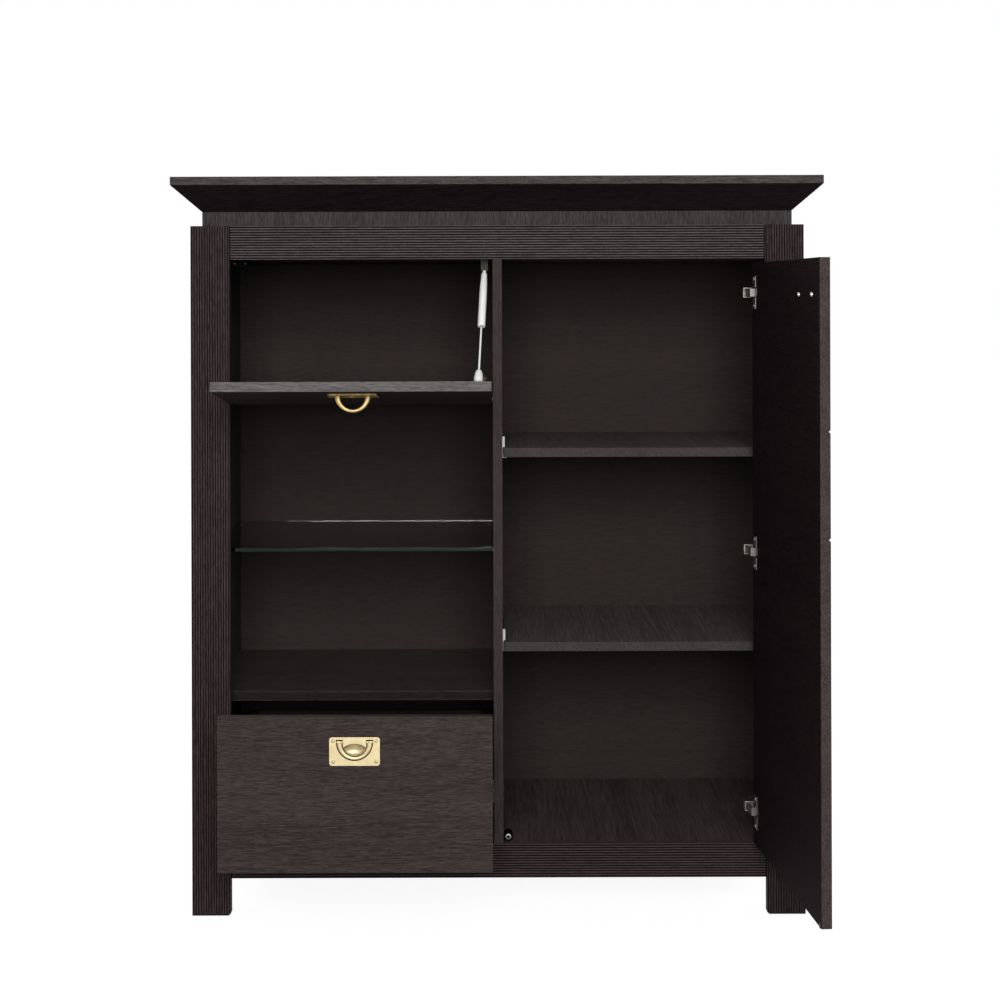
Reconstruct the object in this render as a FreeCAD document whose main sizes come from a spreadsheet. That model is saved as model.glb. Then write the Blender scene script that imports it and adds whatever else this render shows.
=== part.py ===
import FreeCAD, Part
import math
import os
import re
import Sketcher

# Bar cabinet with a fold-out flap, a drawer, open shelves and one door.
# Millimetres, +Z up. The front faces -Y. The door, flap and drawer stand open at rest.
# The origin is on the floor, in the middle of the box that the cabinet fills with its door open.

SIZES = {
    # Carcass
    "body_width": 1196, "body_depth": 500, "post_height": 1345,
    "post_width": 75, "post_thick": 20, "post_chamfer": 4,
    "side_thick": 28, "foot_depth": 75, "leg_height": 72,
    "rail_height": 66, "rail_thick": 18, "rail_setback": 2,
    "board_thick": 18, "back_thick": 4, "overrun": 5,
    # Reeds cut in the faces of the posts and rails
    "reed_pitch": 5, "reed_width": 2, "reed_depth": 1.4,
    # Frieze, crown and top
    "frieze_inset": 20, "frieze_height": 28, "frieze_thick": 16,
    "crown_rise": 50, "crown_reach": 54, "crown_board": 24, "slab_thick": 16,
    # Shelves: heights are of their upper faces above the floor
    "niche_shelf_height": 426, "shelf_setback": 52,
    "upper_shelf_height": 906, "lower_shelf_height": 522, "shelf_end_gap": 2,
    "glass_height": 712, "glass_thick": 8, "glass_setback": 40, "glass_end_gap": 2,
    "glass_back_gap": 5, "glass_pin_inset": 45, "glass_pin_radius": 3, "glass_pin_length": 14,
    "glass_pin_collar_radius": 5, "glass_pin_collar": 1.5,
    "bracket_plate": 1.6, "bracket_width": 12, "bracket_stand": 21, "bracket_head": 5,
    "bracket_tab": 9, "bracket_tab_thick": 3, "bracket_inset": 22, "bracket_clear": 0.2,
    # Door: its open angle, its grooves and the place of its pull
    "door_thick": 18, "door_gap": 3, "door_top_gap": 9.5, "door_open": 95,
    "door_pivot_in": 2.6, "door_pivot_out": 2.3,
    "groove_upper": 976, "groove_lower": 794, "groove_depth": 3, "groove_turn": 45,
    "door_pull_inset": 94, "door_pull_drop": 62.5, "bolt_spacing": 88,
    "bolt_radius": 2, "bolt_head_radius": 4.2, "bolt_head": 4,
    "strike_radius": 6, "strike_thick": 1.5,
    # Concealed hinges: cup in the door, link, arm and plate in the carcass
    "hinge_end": 64, "top_hinge_end": 57.5, "mid_hinge_rise": 3.5,
    "cup_radius": 17.5, "cup_wall": 1.5, "cup_depth": 11.5, "cup_edge": 22,
    "flange_height": 64, "flange_width": 24, "flange_thick": 1.6,
    "cup_screw_spacing": 52, "cup_screw_radius": 4, "cup_screw_head": 2,
    "link_thick": 3, "link_clear": 0.3, "link_stand": 8, "link_reach": 22.4, "link_edge": 17.5,
    "arm_wall": 1.5, "arm_clear": 2.5, "arm_front": 40, "arm_rear": 97, "arm_bend": 58,
    "arm_offset": 40, "arm_width": 20, "arm_base": 6, "arm_height": 19,
    "plate_base": 2, "hinge_plate_height": 40, "plate_front": 50, "plate_rear": 102,
    "block_front": 38, "block_rear": 116, "block_height": 120,
    # Magnetic catches
    "catch_radius": 8.5, "catch_front": 20, "catch_length": 26, "catch_side_gap": 1,
    "flap_catch_width": 36, "flap_catch_height": 14, "flap_catch_depth": 20, "flap_catch_front": 22,
    "flap_magnet_radius": 3.5, "flap_magnet_spacing": 21, "flap_magnet_stand": 2.5,
    "flap_strike_width": 32, "flap_strike_height": 10, "flap_strike_thick": 1, "flap_strike_drop": 2,
    # Flap: the tail is the stretch below its pivot
    "flap_height": 286, "flap_thick": 18, "flap_gap": 2, "flap_open": 82, "flap_tail": 14,
    "flap_pull_drop": 68,
    "pin_radius": 4, "pin_depth": 20, "pin_clear": 0.05, "bush_wall": 2, "bush_length": 10,
    # Gas strut: its upper pivot under the ceiling and its seat on the flap
    "strut_top_x": 25, "strut_top_y": 60, "strut_top_drop": 18, "strut_foot_x": 36,
    "strut_foot_along": 100, "strut_foot_stand": 22,
    "eye_radius": 6, "eye_width": 8, "eye_clear": 0.5, "neck_radius": 3.2, "neck_length": 14,
    "tube_radius": 7.5, "tube_start": 12, "tube_length": 126, "tube_wall": 1.3, "tube_cap": 4,
    "rod_radius": 3, "rod_clear": 0.05, "piston_radius": 6.1, "piston_length": 7, "piston_back": 4,
    "bell_length": 18, "bell_top_radius": 4.4, "bell_foot_radius": 8.5, "bell_foot": 4,
    "ear_thick": 2.5, "ear_radius": 7, "ear_pin_radius": 2.5, "mount_plate": 3, "mount_length": 34,
    "web_thick": 2.5, "web_drop": 3,
    "lug_thick": 3, "lug_width": 14, "lug_gap": 1, "stud_radius": 3.5, "stud_gap": 0.4,
    "foot_plate": 2, "foot_length": 36, "foot_width": 26,
    # Drawer and its runners
    "front_thick": 18, "front_gap": 2, "drawer_lap": 3.6, "drawer_out": 190, "drawer_pull_drop": 63.6,
    "drawer_side": 12, "drawer_length": 430, "drawer_base": 165, "drawer_box_height": 180,
    "drawer_floor": 5, "drawer_floor_rise": 8,
    "runner_centre": 236, "runner_room": 12.5, "runner_height": 42, "runner_wall": 1.5,
    "runner_lip": 10.5, "runner_clear": 0.5, "runner_front": 22, "runner_length": 430,
    "packer_height": 60,
    # Drop pulls: plate, channel, dish and bail
    "plate_width": 93.5, "plate_height": 52.5, "plate_thick": 3, "plate_corner": 5,
    "pan_width": 75, "pan_top": 24, "pan_foot": 20, "pan_depth": 8, "pan_clear": 0.5,
    "pivot_rise": 17, "bail_radius": 33.5, "bail_root": 11.5, "bail_bar": 6.2,
    "bail_thick": 5, "barrel_radius": 2.9, "bail_pin_radius": 1.5, "bail_pin_length": 2.5, "bail_pin_end": 0.2,
    "bail_pin_clear": 0.05, "bail_clear": 1, "channel_top": 4.7, "channel_depth": 6,
    "dish_width": 45, "dish_height": 24, "dish_depth": 9, "dish_drop": 14.8,
    "screw_x": 39.8, "screw_z": 19.5, "screw_head_radius": 3.1, "screw_head": 2, "screw_proud": 0.4,
    "screw_shank_radius": 1.4, "screw_length": 14,
}

# Places that several pieces share, in the words of the sheet
HALF = "(body_width / 2)"
OPENING = "(body_width / 2 - post_width)"
WALL = "(body_width / 2 - side_thick)"
MID = "(board_thick / 2)"
FLOOR = "(leg_height + rail_height)"
CEILING = "(post_height - rail_height)"
RAIL_BACK = "(rail_setback + rail_thick)"
BACK = "(body_depth - back_thick)"
FRIEZE_OUT = "(body_width / 2 - frieze_inset)"
FRIEZE_TOP = "(post_height + frieze_height)"
CROWN_TOP = "(post_height + frieze_height + crown_rise)"
CROWN_OUT = "(body_width / 2 - frieze_inset + crown_reach)"
CROWN_FRONT = "(frieze_inset - crown_reach)"
DOOR_WIDTH = "(body_width / 2 - post_width - board_thick / 2 - 2 * door_gap)"
DOOR_TURN = "(door_pivot_in * cos(door_open) - door_pivot_out * sin(door_open))"
DOOR_RISE = "(door_pivot_in * sin(door_open) + door_pivot_out * cos(door_open) - door_pivot_out)"
DOOR_EDGE = f"(body_width / 2 - post_width - door_gap - door_pivot_in + {DOOR_TURN})"
DOOR_DEPTH = f"({DOOR_WIDTH} * sin(door_open) - door_thick * cos(door_open) - {DOOR_RISE})"
FRONT = f"(({DOOR_DEPTH} - body_depth) / 2)"
DOOR_FOOT = "(leg_height + rail_height + door_gap)"
DOOR_TOP = "(post_height - rail_height - door_top_gap)"
FLAP_TOP = "(flap_height - flap_tail)"
FLAP_PIVOT = "(post_height - rail_height - flap_gap - flap_height + flap_tail)"
BAR_SHELF = "(post_height - rail_height - flap_gap - flap_height + flap_tail + flap_thick / 2)"
FRONT_LEFT = "(-body_width / 2 + post_width + front_gap)"
FRONT_RIGHT = "(-board_thick / 2 - front_gap)"
FRONT_MIDDLE = "((-body_width / 2 + post_width - board_thick / 2) / 2)"
DRAWER_TOP = "(niche_shelf_height + drawer_lap)"
BAIL_INNER = "(bail_radius - bail_root)"
BAIL_DROP = "(bail_radius - bail_bar)"
BAIL_SHIFT = f"(({BAIL_DROP} * {BAIL_DROP} - {BAIL_INNER} * {BAIL_INNER}) / (2 * {BAIL_DROP}))"
BAIL_INNER_RADIUS = f"({BAIL_DROP} - {BAIL_SHIFT})"
PIVOT_DEPTH = "(bail_thick / 2 - plate_thick)"
HINGE_HEIGHTS = (
    f"({DOOR_FOOT} + hinge_end)",
    "((upper_shelf_height - board_thick + lower_shelf_height) / 2 + mid_hinge_rise)",
    f"({DOOR_TOP} - top_hinge_end)",
)
SCREW_CORNERS = (("-", "-"), ("-", "+"), ("+", "-"), ("+", "+"))
ZERO = ("0", "0", "0")

doc = FreeCAD.newDocument("bar_cabinet")
sheet = doc.addObject("Spreadsheet::Sheet", "Dims")
for row, (name, size) in enumerate(SIZES.items(), start=1):
    sheet.set(f"A{row}", name)
    sheet.set(f"B{row}", str(size))
    sheet.setAlias(f"B{row}", name)
doc.recompute()

WORDS = re.compile(r"\b(" + "|".join(SIZES) + r")\b")
TURNS = {
    "x": FreeCAD.Rotation(FreeCAD.Vector(0, 1, 0), 90),
    "y": FreeCAD.Rotation(FreeCAD.Vector(1, 0, 0), -90),
    "z": FreeCAD.Rotation(),
}
AXES = {"x": FreeCAD.Vector(1, 0, 0), "z": FreeCAD.Vector(0, 0, 1)}
nodes = []


def bind(item, prop, text):
    """Tie one property to a formula in the words of the sheet."""
    item.setExpression(prop, WORDS.sub(r"Dims.\1", text))


class Frame:
    """A place that a group of pieces shares, turned about one axis."""

    def __init__(self, origin, axis=None, angle="0"):
        self.origin = origin
        self.axis = axis
        self.angle = angle

    def spot(self, at):
        """Give the formulas of a point of this frame in the cabinet's own frame."""
        x, y, z = at
        left, front, foot = self.origin
        sine = f"sin({self.angle})"
        cosine = f"cos({self.angle})"
        if self.axis == "z":
            turned = (f"({x}) * {cosine} - ({y}) * {sine}", f"({x}) * {sine} + ({y}) * {cosine}", z)
        elif self.axis == "x":
            turned = (x, f"({y}) * {cosine} - ({z}) * {sine}", f"({y}) * {sine} + ({z}) * {cosine}")
        else:
            turned = (x, y, z)
        return tuple(f"{start} + {way}" for start, way in zip((left, front, foot), turned))

    def place(self, item, at=ZERO):
        """Put an item at a point of this frame, turned as the frame is."""
        if self.axis:
            item.Placement = FreeCAD.Placement(FreeCAD.Vector(), FreeCAD.Rotation(AXES[self.axis], 1))
            bind(item, "Placement.Rotation.Angle", self.angle)
        for letter, text in zip("xyz", self.spot(at)):
            bind(item, f"Placement.Base.{letter}", text)


LOCAL = Frame(ZERO)
CARCASS = Frame(("0", FRONT, "0"))
DOOR = Frame((DOOR_EDGE, f"{FRONT} + {DOOR_RISE}", "0"), "z", "door_open")
FLAP = Frame(("0", f"{FRONT} + flap_thick / 2", FLAP_PIVOT), "x", "flap_open")
DRAWER = Frame(("0", f"{FRONT} - drawer_out", "0"))


def node(label, item, frame=CARCASS, at=ZERO):
    """Name a finished piece, put it in its frame and keep it for writing."""
    item.Label = label
    frame.place(item, at)
    nodes.append(item)
    return item


def block(corner, size):
    """A box from its lowest corner."""
    item = doc.addObject("Part::Box", "Block")
    for prop, text in zip(("Length", "Width", "Height"), size):
        bind(item, prop, text)
    LOCAL.place(item, corner)
    return item


def board(label, corner, size, frame=CARCASS):
    """A plain board that is a piece by itself."""
    item = block(ZERO, size)
    return node(label, item, frame, corner)


def bar(start, way, radius, length):
    """A round bar that runs from its start along one axis."""
    item = doc.addObject("Part::Cylinder", "Bar")
    item.Placement = FreeCAD.Placement(FreeCAD.Vector(), TURNS[way])
    bind(item, "Radius", radius)
    bind(item, "Height", length)
    for letter, text in zip("xyz", start):
        bind(item, f"Placement.Base.{letter}", text)
    return item


def cone(start, way, first, last, length):
    """A tapered bar that runs from its start along one axis."""
    item = doc.addObject("Part::Cone", "Taper")
    item.Placement = FreeCAD.Placement(FreeCAD.Vector(), TURNS[way])
    bind(item, "Radius1", first)
    bind(item, "Radius2", last)
    bind(item, "Height", length)
    for letter, text in zip("xyz", start):
        bind(item, f"Placement.Base.{letter}", text)
    return item


def fuse(*items):
    """One solid from several that touch or overlap."""
    whole = doc.addObject("Part::MultiFuse", "Whole")
    whole.Shapes = list(items)
    return whole


def group(*items):
    """Several separate solids that share a node."""
    bundle = doc.addObject("Part::Compound", "Group")
    bundle.Links = list(items)
    return bundle


def cut(base, *tools):
    """A solid with other solids taken out of it."""
    rest = doc.addObject("Part::Cut", "Rest")
    rest.Base = base
    rest.Tool = fuse(*tools) if len(tools) > 1 else tools[0]
    return rest


def origin_part(body, role):
    """One of a body's own origin planes or axes."""
    return next(item for item in body.Origin.OriginFeatures if item.Role == role)


def outline(body, plane, points, lift="0"):
    """A closed sketch of straight lines whose corners follow the sheet."""
    sketch = body.newObject("Sketcher::SketchObject", "Outline")
    sketch.AttachmentSupport = [(origin_part(body, plane), "")]
    sketch.MapMode = "FlatFace"
    bind(sketch, "AttachmentOffset.Base.z", lift)
    count = len(points)
    turns = [2 * math.pi * step / count for step in range(count)]
    ring = [FreeCAD.Vector(math.cos(turn), math.sin(turn), 0) for turn in turns]
    for step in range(count):
        sketch.addGeometry(Part.LineSegment(ring[step], ring[(step + 1) % count]))
    for step in range(count):
        sketch.addConstraint(Sketcher.Constraint("Coincident", step, 2, (step + 1) % count, 1))
    for step, corner in enumerate(points):
        for kind, text in zip(("DistanceX", "DistanceY"), corner):
            number = sketch.addConstraint(Sketcher.Constraint(kind, -1, 1, step, 1, 1.0))
            bind(sketch, f"Constraints[{number}]", text)
    return sketch


def rectangle(left, foot, right, top):
    """The four corners of an upright rectangle."""
    return [(left, foot), (right, foot), (right, top), (left, top)]


def pad(body, sketch, length, reverse=False, midplane=False):
    """Raise a sketch into a solid."""
    feature = body.newObject("PartDesign::Pad", "Pad")
    feature.Profile = sketch
    feature.Reversed = reverse
    feature.Midplane = midplane
    bind(feature, "Length", length)
    return feature


def reeded(points, thick, span, along, across):
    """A board with fine grooves in its face, cut once and repeated across it."""
    body = doc.addObject("PartDesign::Body", "Reeded")
    pad(body, outline(body, "XZ_Plane", points), thick, reverse=True)
    count = f"floor({across} / reed_pitch)"
    first = f"(({across} - ({count} - 1) * reed_pitch) / 2)"
    low, high = f"{first} - reed_width / 2", f"{first} + reed_width / 2"
    far = f"{span} + overrun"
    corners = {
        "Z": rectangle(low, "-overrun", high, far),
        "X": rectangle("-overrun", low, far, high),
    }[along]
    groove = body.newObject("PartDesign::Pocket", "Reed")
    groove.Profile = outline(body, "XZ_Plane", corners)
    bind(groove, "Length", "reed_depth")
    rows = body.newObject("PartDesign::LinearPattern", "Reeds")
    rows.Originals = [groove]
    rows.Direction = (origin_part(body, {"Z": "X_Axis", "X": "Z_Axis"}[along]), [""])
    bind(rows, "Length", f"({count} - 1) * reed_pitch")
    bind(rows, "Occurrences", count)
    body.Tip = rows
    return body


def build_posts():
    """The two reeded posts, each with the inner corner of its foot taken off."""
    left = [
        ("0", "0"), ("post_width - post_chamfer", "0"), ("post_width", "post_chamfer"),
        ("post_width", "post_height"), ("0", "post_height"),
    ]
    right = [
        ("post_chamfer", "0"), ("post_width", "0"), ("post_width", "post_height"),
        ("0", "post_height"), ("0", "post_chamfer"),
    ]
    left_post = reeded(left, "post_thick", "post_height", "Z", "post_width")
    seat = bar(
        ("post_width - bush_length", "flap_thick / 2", FLAP_PIVOT),
        "x", "pin_radius + pin_clear + bush_wall", "bush_length + overrun",
    )
    node("left_front_post", cut(left_post, seat), at=(f"-{HALF}", "0", "0"))
    right_post = reeded(right, "post_thick", "post_height", "Z", "post_width")
    node("right_front_post", right_post, at=(OPENING, "0", "0"))


def build_rails():
    """The reeded rails above and below the openings."""
    face = rectangle("0", "0", f"2 * {OPENING}", "rail_height")
    for label, foot in (("top_rail", CEILING), ("bottom_rail", "leg_height")):
        rail = reeded(face, "rail_thick", f"2 * {OPENING}", "X", "rail_height")
        node(label, rail, at=(f"-{OPENING}", "rail_setback", foot))


def build_sides():
    """The side panels, cut out between their feet."""
    profile = [
        ("post_thick", "0"), ("foot_depth", "0"), ("foot_depth", "leg_height"),
        ("body_depth - foot_depth", "leg_height"), ("body_depth - foot_depth", "0"),
        ("body_depth", "0"), ("body_depth", "post_height"), ("post_thick", "post_height"),
    ]
    for label, left in (("left_side_panel", f"-{HALF}"), ("right_side_panel", WALL)):
        body = doc.addObject("PartDesign::Body", "Side")
        pad(body, outline(body, "YZ_Plane", profile), "side_thick")
        node(label, body, at=(left, "0", "0"))


def build_carcass():
    """The boards that close the carcass and divide it."""
    deep = f"{BACK} - {RAIL_BACK}"
    wide = f"2 * {WALL}"
    board("carcass_top", (f"-{WALL}", RAIL_BACK, CEILING), (wide, deep, "board_thick"))
    board("carcass_bottom", (f"-{WALL}", RAIL_BACK, f"{FLOOR} - board_thick"), (wide, deep, "board_thick"))
    board(
        "back_panel", (f"-{WALL}", BACK, f"{FLOOR} - board_thick"),
        (wide, "back_thick", f"{CEILING} - {FLOOR} + 2 * board_thick"),
    )
    upright = block(
        (f"-{MID}", "rail_setback", FLOOR),
        ("board_thick", f"{BACK} - rail_setback", f"{CEILING} - {FLOOR}"),
    )
    seat = bar(
        (f"-{MID} - overrun", "flap_thick / 2", FLAP_PIVOT),
        "x", "pin_radius + pin_clear + bush_wall", "bush_length + overrun",
    )
    node("centre_divider", cut(upright, seat))


def build_frieze():
    """The set-back boards between the posts and the crown."""
    low = f"({CEILING} + board_thick)"
    inner = f"({FRIEZE_OUT} - frieze_thick)"
    board(
        "front_frieze", (f"-{inner}", "frieze_inset", low),
        (f"2 * {inner}", "frieze_thick", f"{FRIEZE_TOP} - {low}"),
    )
    for label, left in (("left_frieze", f"-{FRIEZE_OUT}"), ("right_frieze", inner)):
        board(
            label, (left, "frieze_inset", "post_height"),
            ("frieze_thick", "body_depth - frieze_inset", "frieze_height"),
        )
    half = [
        (WALL, low), (WALL, "post_height"), (inner, "post_height"), (inner, FRIEZE_TOP),
        (f"{FRIEZE_OUT} - crown_board", FRIEZE_TOP), (f"{CROWN_OUT} - crown_board", CROWN_TOP),
    ]
    profile = half + [(f"-({x})", z) for x, z in reversed(half)]
    body = doc.addObject("PartDesign::Body", "Rear")
    pad(body, outline(body, "XZ_Plane", profile), "frieze_thick", reverse=True)
    node("rear_top_board", body, at=("0", "body_depth - frieze_thick", "0"))


def build_crown():
    """The sloped crown boards, mitred at the front corners, and the slab on them."""
    out, reach = FRIEZE_OUT, CROWN_OUT
    out_in, reach_in = f"{FRIEZE_OUT} - crown_board", f"{CROWN_OUT} - crown_board"
    foot, foot_in = "frieze_inset", "frieze_inset + crown_board"
    head, head_in = CROWN_FRONT, f"{CROWN_FRONT} + crown_board"
    front_foot = [(f"-{out}", foot), (out, foot), (out_in, foot_in), (f"-({out_in})", foot_in)]
    front_head = [(f"-{reach}", head), (reach, head), (reach_in, head_in), (f"-({reach_in})", head_in)]
    right_foot = [(out, foot), (out, "body_depth"), (out_in, "body_depth"), (out_in, foot_in)]
    right_head = [(reach, head), (reach, "body_depth"), (reach_in, "body_depth"), (reach_in, head_in)]
    left_foot = [(f"-({x})", y) for x, y in right_foot]
    left_head = [(f"-({x})", y) for x, y in right_head]
    pieces = {
        "front_crown": (front_foot, front_head),
        "left_crown": (left_foot, left_head),
        "right_crown": (right_foot, right_head),
    }
    for label, (low, high) in pieces.items():
        body = doc.addObject("PartDesign::Body", "Crown")
        loft = body.newObject("PartDesign::AdditiveLoft", "Slope")
        loft.Profile = outline(body, "XY_Plane", low)
        loft.Sections = [outline(body, "XY_Plane", high, "crown_rise")]
        loft.Ruled = True
        body.Tip = loft
        node(label, body, at=("0", "0", FRIEZE_TOP))
    board(
        "top_slab", (f"-{CROWN_OUT}", CROWN_FRONT, CROWN_TOP),
        (f"2 * {CROWN_OUT}", f"body_depth - {CROWN_FRONT}", "slab_thick"),
    )


def build_shelves():
    """The fixed shelves, the glass shelf and the two loose shelves."""
    deep = f"{BACK} - shelf_setback"
    for label, top in (("bar_shelf", BAR_SHELF), ("niche_shelf", "niche_shelf_height")):
        board(
            label, (f"-{WALL}", "shelf_setback", f"{top} - board_thick"),
            (f"{WALL} - {MID}", deep, "board_thick"),
        )
    for label, top in (("upper_shelf", "upper_shelf_height"), ("lower_shelf", "lower_shelf_height")):
        board(
            label, (f"{MID} + shelf_end_gap", "shelf_setback", f"{top} - board_thick"),
            (f"{WALL} - {MID} - 2 * shelf_end_gap", deep, "board_thick"),
        )
    board(
        "glass_shelf", (f"-{WALL} + glass_end_gap", "glass_setback", "glass_height - glass_thick"),
        (f"{WALL} - {MID} - 2 * glass_end_gap", f"{BACK} - glass_setback - glass_back_gap", "glass_thick"),
    )


def build_shelf_supports():
    """The pins under the glass and the white brackets that hold the loose shelves."""
    height = "glass_height - glass_thick - glass_pin_radius"
    reach = "glass_pin_length - glass_pin_collar"
    pins = []
    for depth in ("glass_setback + glass_pin_inset", f"{BACK} - glass_pin_inset"):
        pins.append(fuse(
            bar((f"-{WALL}", depth, height), "x", "glass_pin_collar_radius", "glass_pin_collar"),
            bar((f"-{WALL} + glass_pin_collar", depth, height), "x", "glass_pin_radius", reach),
        ))
        pins.append(fuse(
            bar((f"-{MID} - glass_pin_collar", depth, height), "x", "glass_pin_collar_radius",
                "glass_pin_collar"),
            bar((f"-{MID} - glass_pin_length", depth, height), "x", "glass_pin_radius", reach),
        ))
    # A collar is taller than its pin, so the glass has its end just clear of it
    node("glass_shelf_pins", group(*pins))

    # The front brackets also hold the shelf down, with a head that rises above it
    brackets = []
    front, rear = "shelf_setback + bracket_inset", f"{BACK} - bracket_inset - bracket_width"
    for top in ("upper_shelf_height", "lower_shelf_height"):
        under = f"{top} - board_thick - bracket_tab_thick"
        over = f"{top} + bracket_clear"
        low = "board_thick + bracket_tab_thick"
        for plate, tab, head in (
            (MID, MID, MID),
            (f"{WALL} - bracket_plate", f"{WALL} - bracket_tab", f"{WALL} - bracket_head"),
        ):
            tall = f"{low} + bracket_clear + bracket_stand"
            brackets.append(fuse(
                block((plate, front, under), ("bracket_plate", "bracket_width", tall)),
                block((tab, front, under), ("bracket_tab", "bracket_width", "bracket_tab_thick")),
                block((head, front, over), ("bracket_head", "bracket_width", "bracket_stand")),
            ))
            brackets.append(fuse(
                block((plate, rear, under), ("bracket_plate", "bracket_width", low)),
                block((tab, rear, under), ("bracket_tab", "bracket_width", "bracket_tab_thick")),
            ))
    node("shelf_brackets", group(*brackets))


def build_hinge_seats():
    """The blocks, plates and cranked arms that carry the door on the right side panel."""
    blocks, plates, arms = [], [], []
    face = OPENING
    inner = f"{OPENING} - plate_base"
    for height in HINGE_HEIGHTS:
        blocks.append(block(
            (face, "block_front", f"{height} - block_height / 2"),
            (f"{WALL} - {OPENING}", "block_rear - block_front", "block_height"),
        ))
        plates.append(block(
            (inner, "plate_front", f"{height} - hinge_plate_height / 2"),
            ("plate_base", "plate_rear - plate_front", "hinge_plate_height"),
        ))
        left = f"{OPENING} - arm_offset"
        body = doc.addObject("PartDesign::Body", "Crank")
        crank = [
            (inner, "arm_rear"), (f"{inner} - arm_base", "arm_rear"),
            (f"{inner} - arm_base", "arm_bend + arm_base"), (left, "arm_front + arm_base"),
            (left, "arm_front"), (f"{left} + arm_width", "arm_front"), (inner, "arm_bend"),
        ]
        pad(body, outline(body, "XY_Plane", crank, height), "arm_height", midplane=True)
        nose = "(door_thick + arm_clear)"
        reach = f"arm_front - {nose}"
        low = f"{height} - arm_height / 2"
        arms.append(fuse(
            body,
            block((left, nose, low), ("arm_wall", reach, "arm_height")),
            block((left, nose, low), ("arm_width", reach, "arm_wall")),
            block((left, nose, f"{height} + arm_height / 2 - arm_wall"), ("arm_width", reach, "arm_wall")),
        ))
    node("hinge_blocks", group(*blocks))
    node("hinge_plates", group(*plates))
    node("hinge_arms", group(*arms))


def build_hinge_cups():
    """The cups sunk in the door, their links and their screws."""
    cups, links, screws = [], [], []
    sunk = "(door_thick - cup_depth)"
    link_height = "(arm_height - 2 * arm_wall - 2 * link_clear)"
    for height in HINGE_HEIGHTS:
        cup = fuse(
            bar(("-cup_edge", sunk, height), "y", "cup_radius", "cup_depth"),
            block(
                ("-cup_edge - flange_width / 2", "door_thick", f"{height} - flange_height / 2"),
                ("flange_width", "flange_thick", "flange_height"),
            ),
        )
        hollow = bar(
            ("-cup_edge", f"{sunk} + cup_wall", height), "y", "cup_radius - cup_wall",
            "cup_depth + flange_thick + overrun",
        )
        cups.append(cut(cup, hollow))
        low = f"{height} - {link_height} / 2"
        stand = "(door_thick + link_stand)"
        links.append(fuse(
            block(
                ("-link_edge", f"{sunk} + cup_wall", low),
                ("link_thick", f"{stand} - {sunk} - cup_wall", link_height),
            ),
            block(
                ("-link_edge", f"{stand} - link_thick", low),
                ("link_edge + link_reach", "link_thick", link_height),
            ),
        ))
        for side in ("-", "+"):
            screws.append(bar(
                ("-cup_edge", "door_thick + flange_thick", f"{height} {side} cup_screw_spacing / 2"),
                "y", "cup_screw_radius", "cup_screw_head",
            ))
    node("hinge_cups", group(*cups), DOOR)
    node("hinge_links", group(*links), DOOR)
    node("hinge_cup_screws", group(*screws), DOOR)


def pan_pocket(across, up, face, screws=True):
    """The pocket, and where it is screwed on the holes, that a pull needs in the panel behind it."""
    tools = [block(
        (f"{across} - pan_width / 2 - pan_clear", f"{face} - overrun", f"{up} - pan_foot - pan_clear"),
        ("pan_width + 2 * pan_clear", "pan_depth + pan_clear + overrun",
         "pan_top + pan_foot + 2 * pan_clear"),
    )]
    for x, z in SCREW_CORNERS if screws else ():
        tools.append(bar(
            (f"{across} {x} screw_x", f"{face} - overrun", f"{up} {z} screw_z"),
            "y", "screw_shank_radius", "screw_length - plate_thick + overrun",
        ))
    return tools


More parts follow.
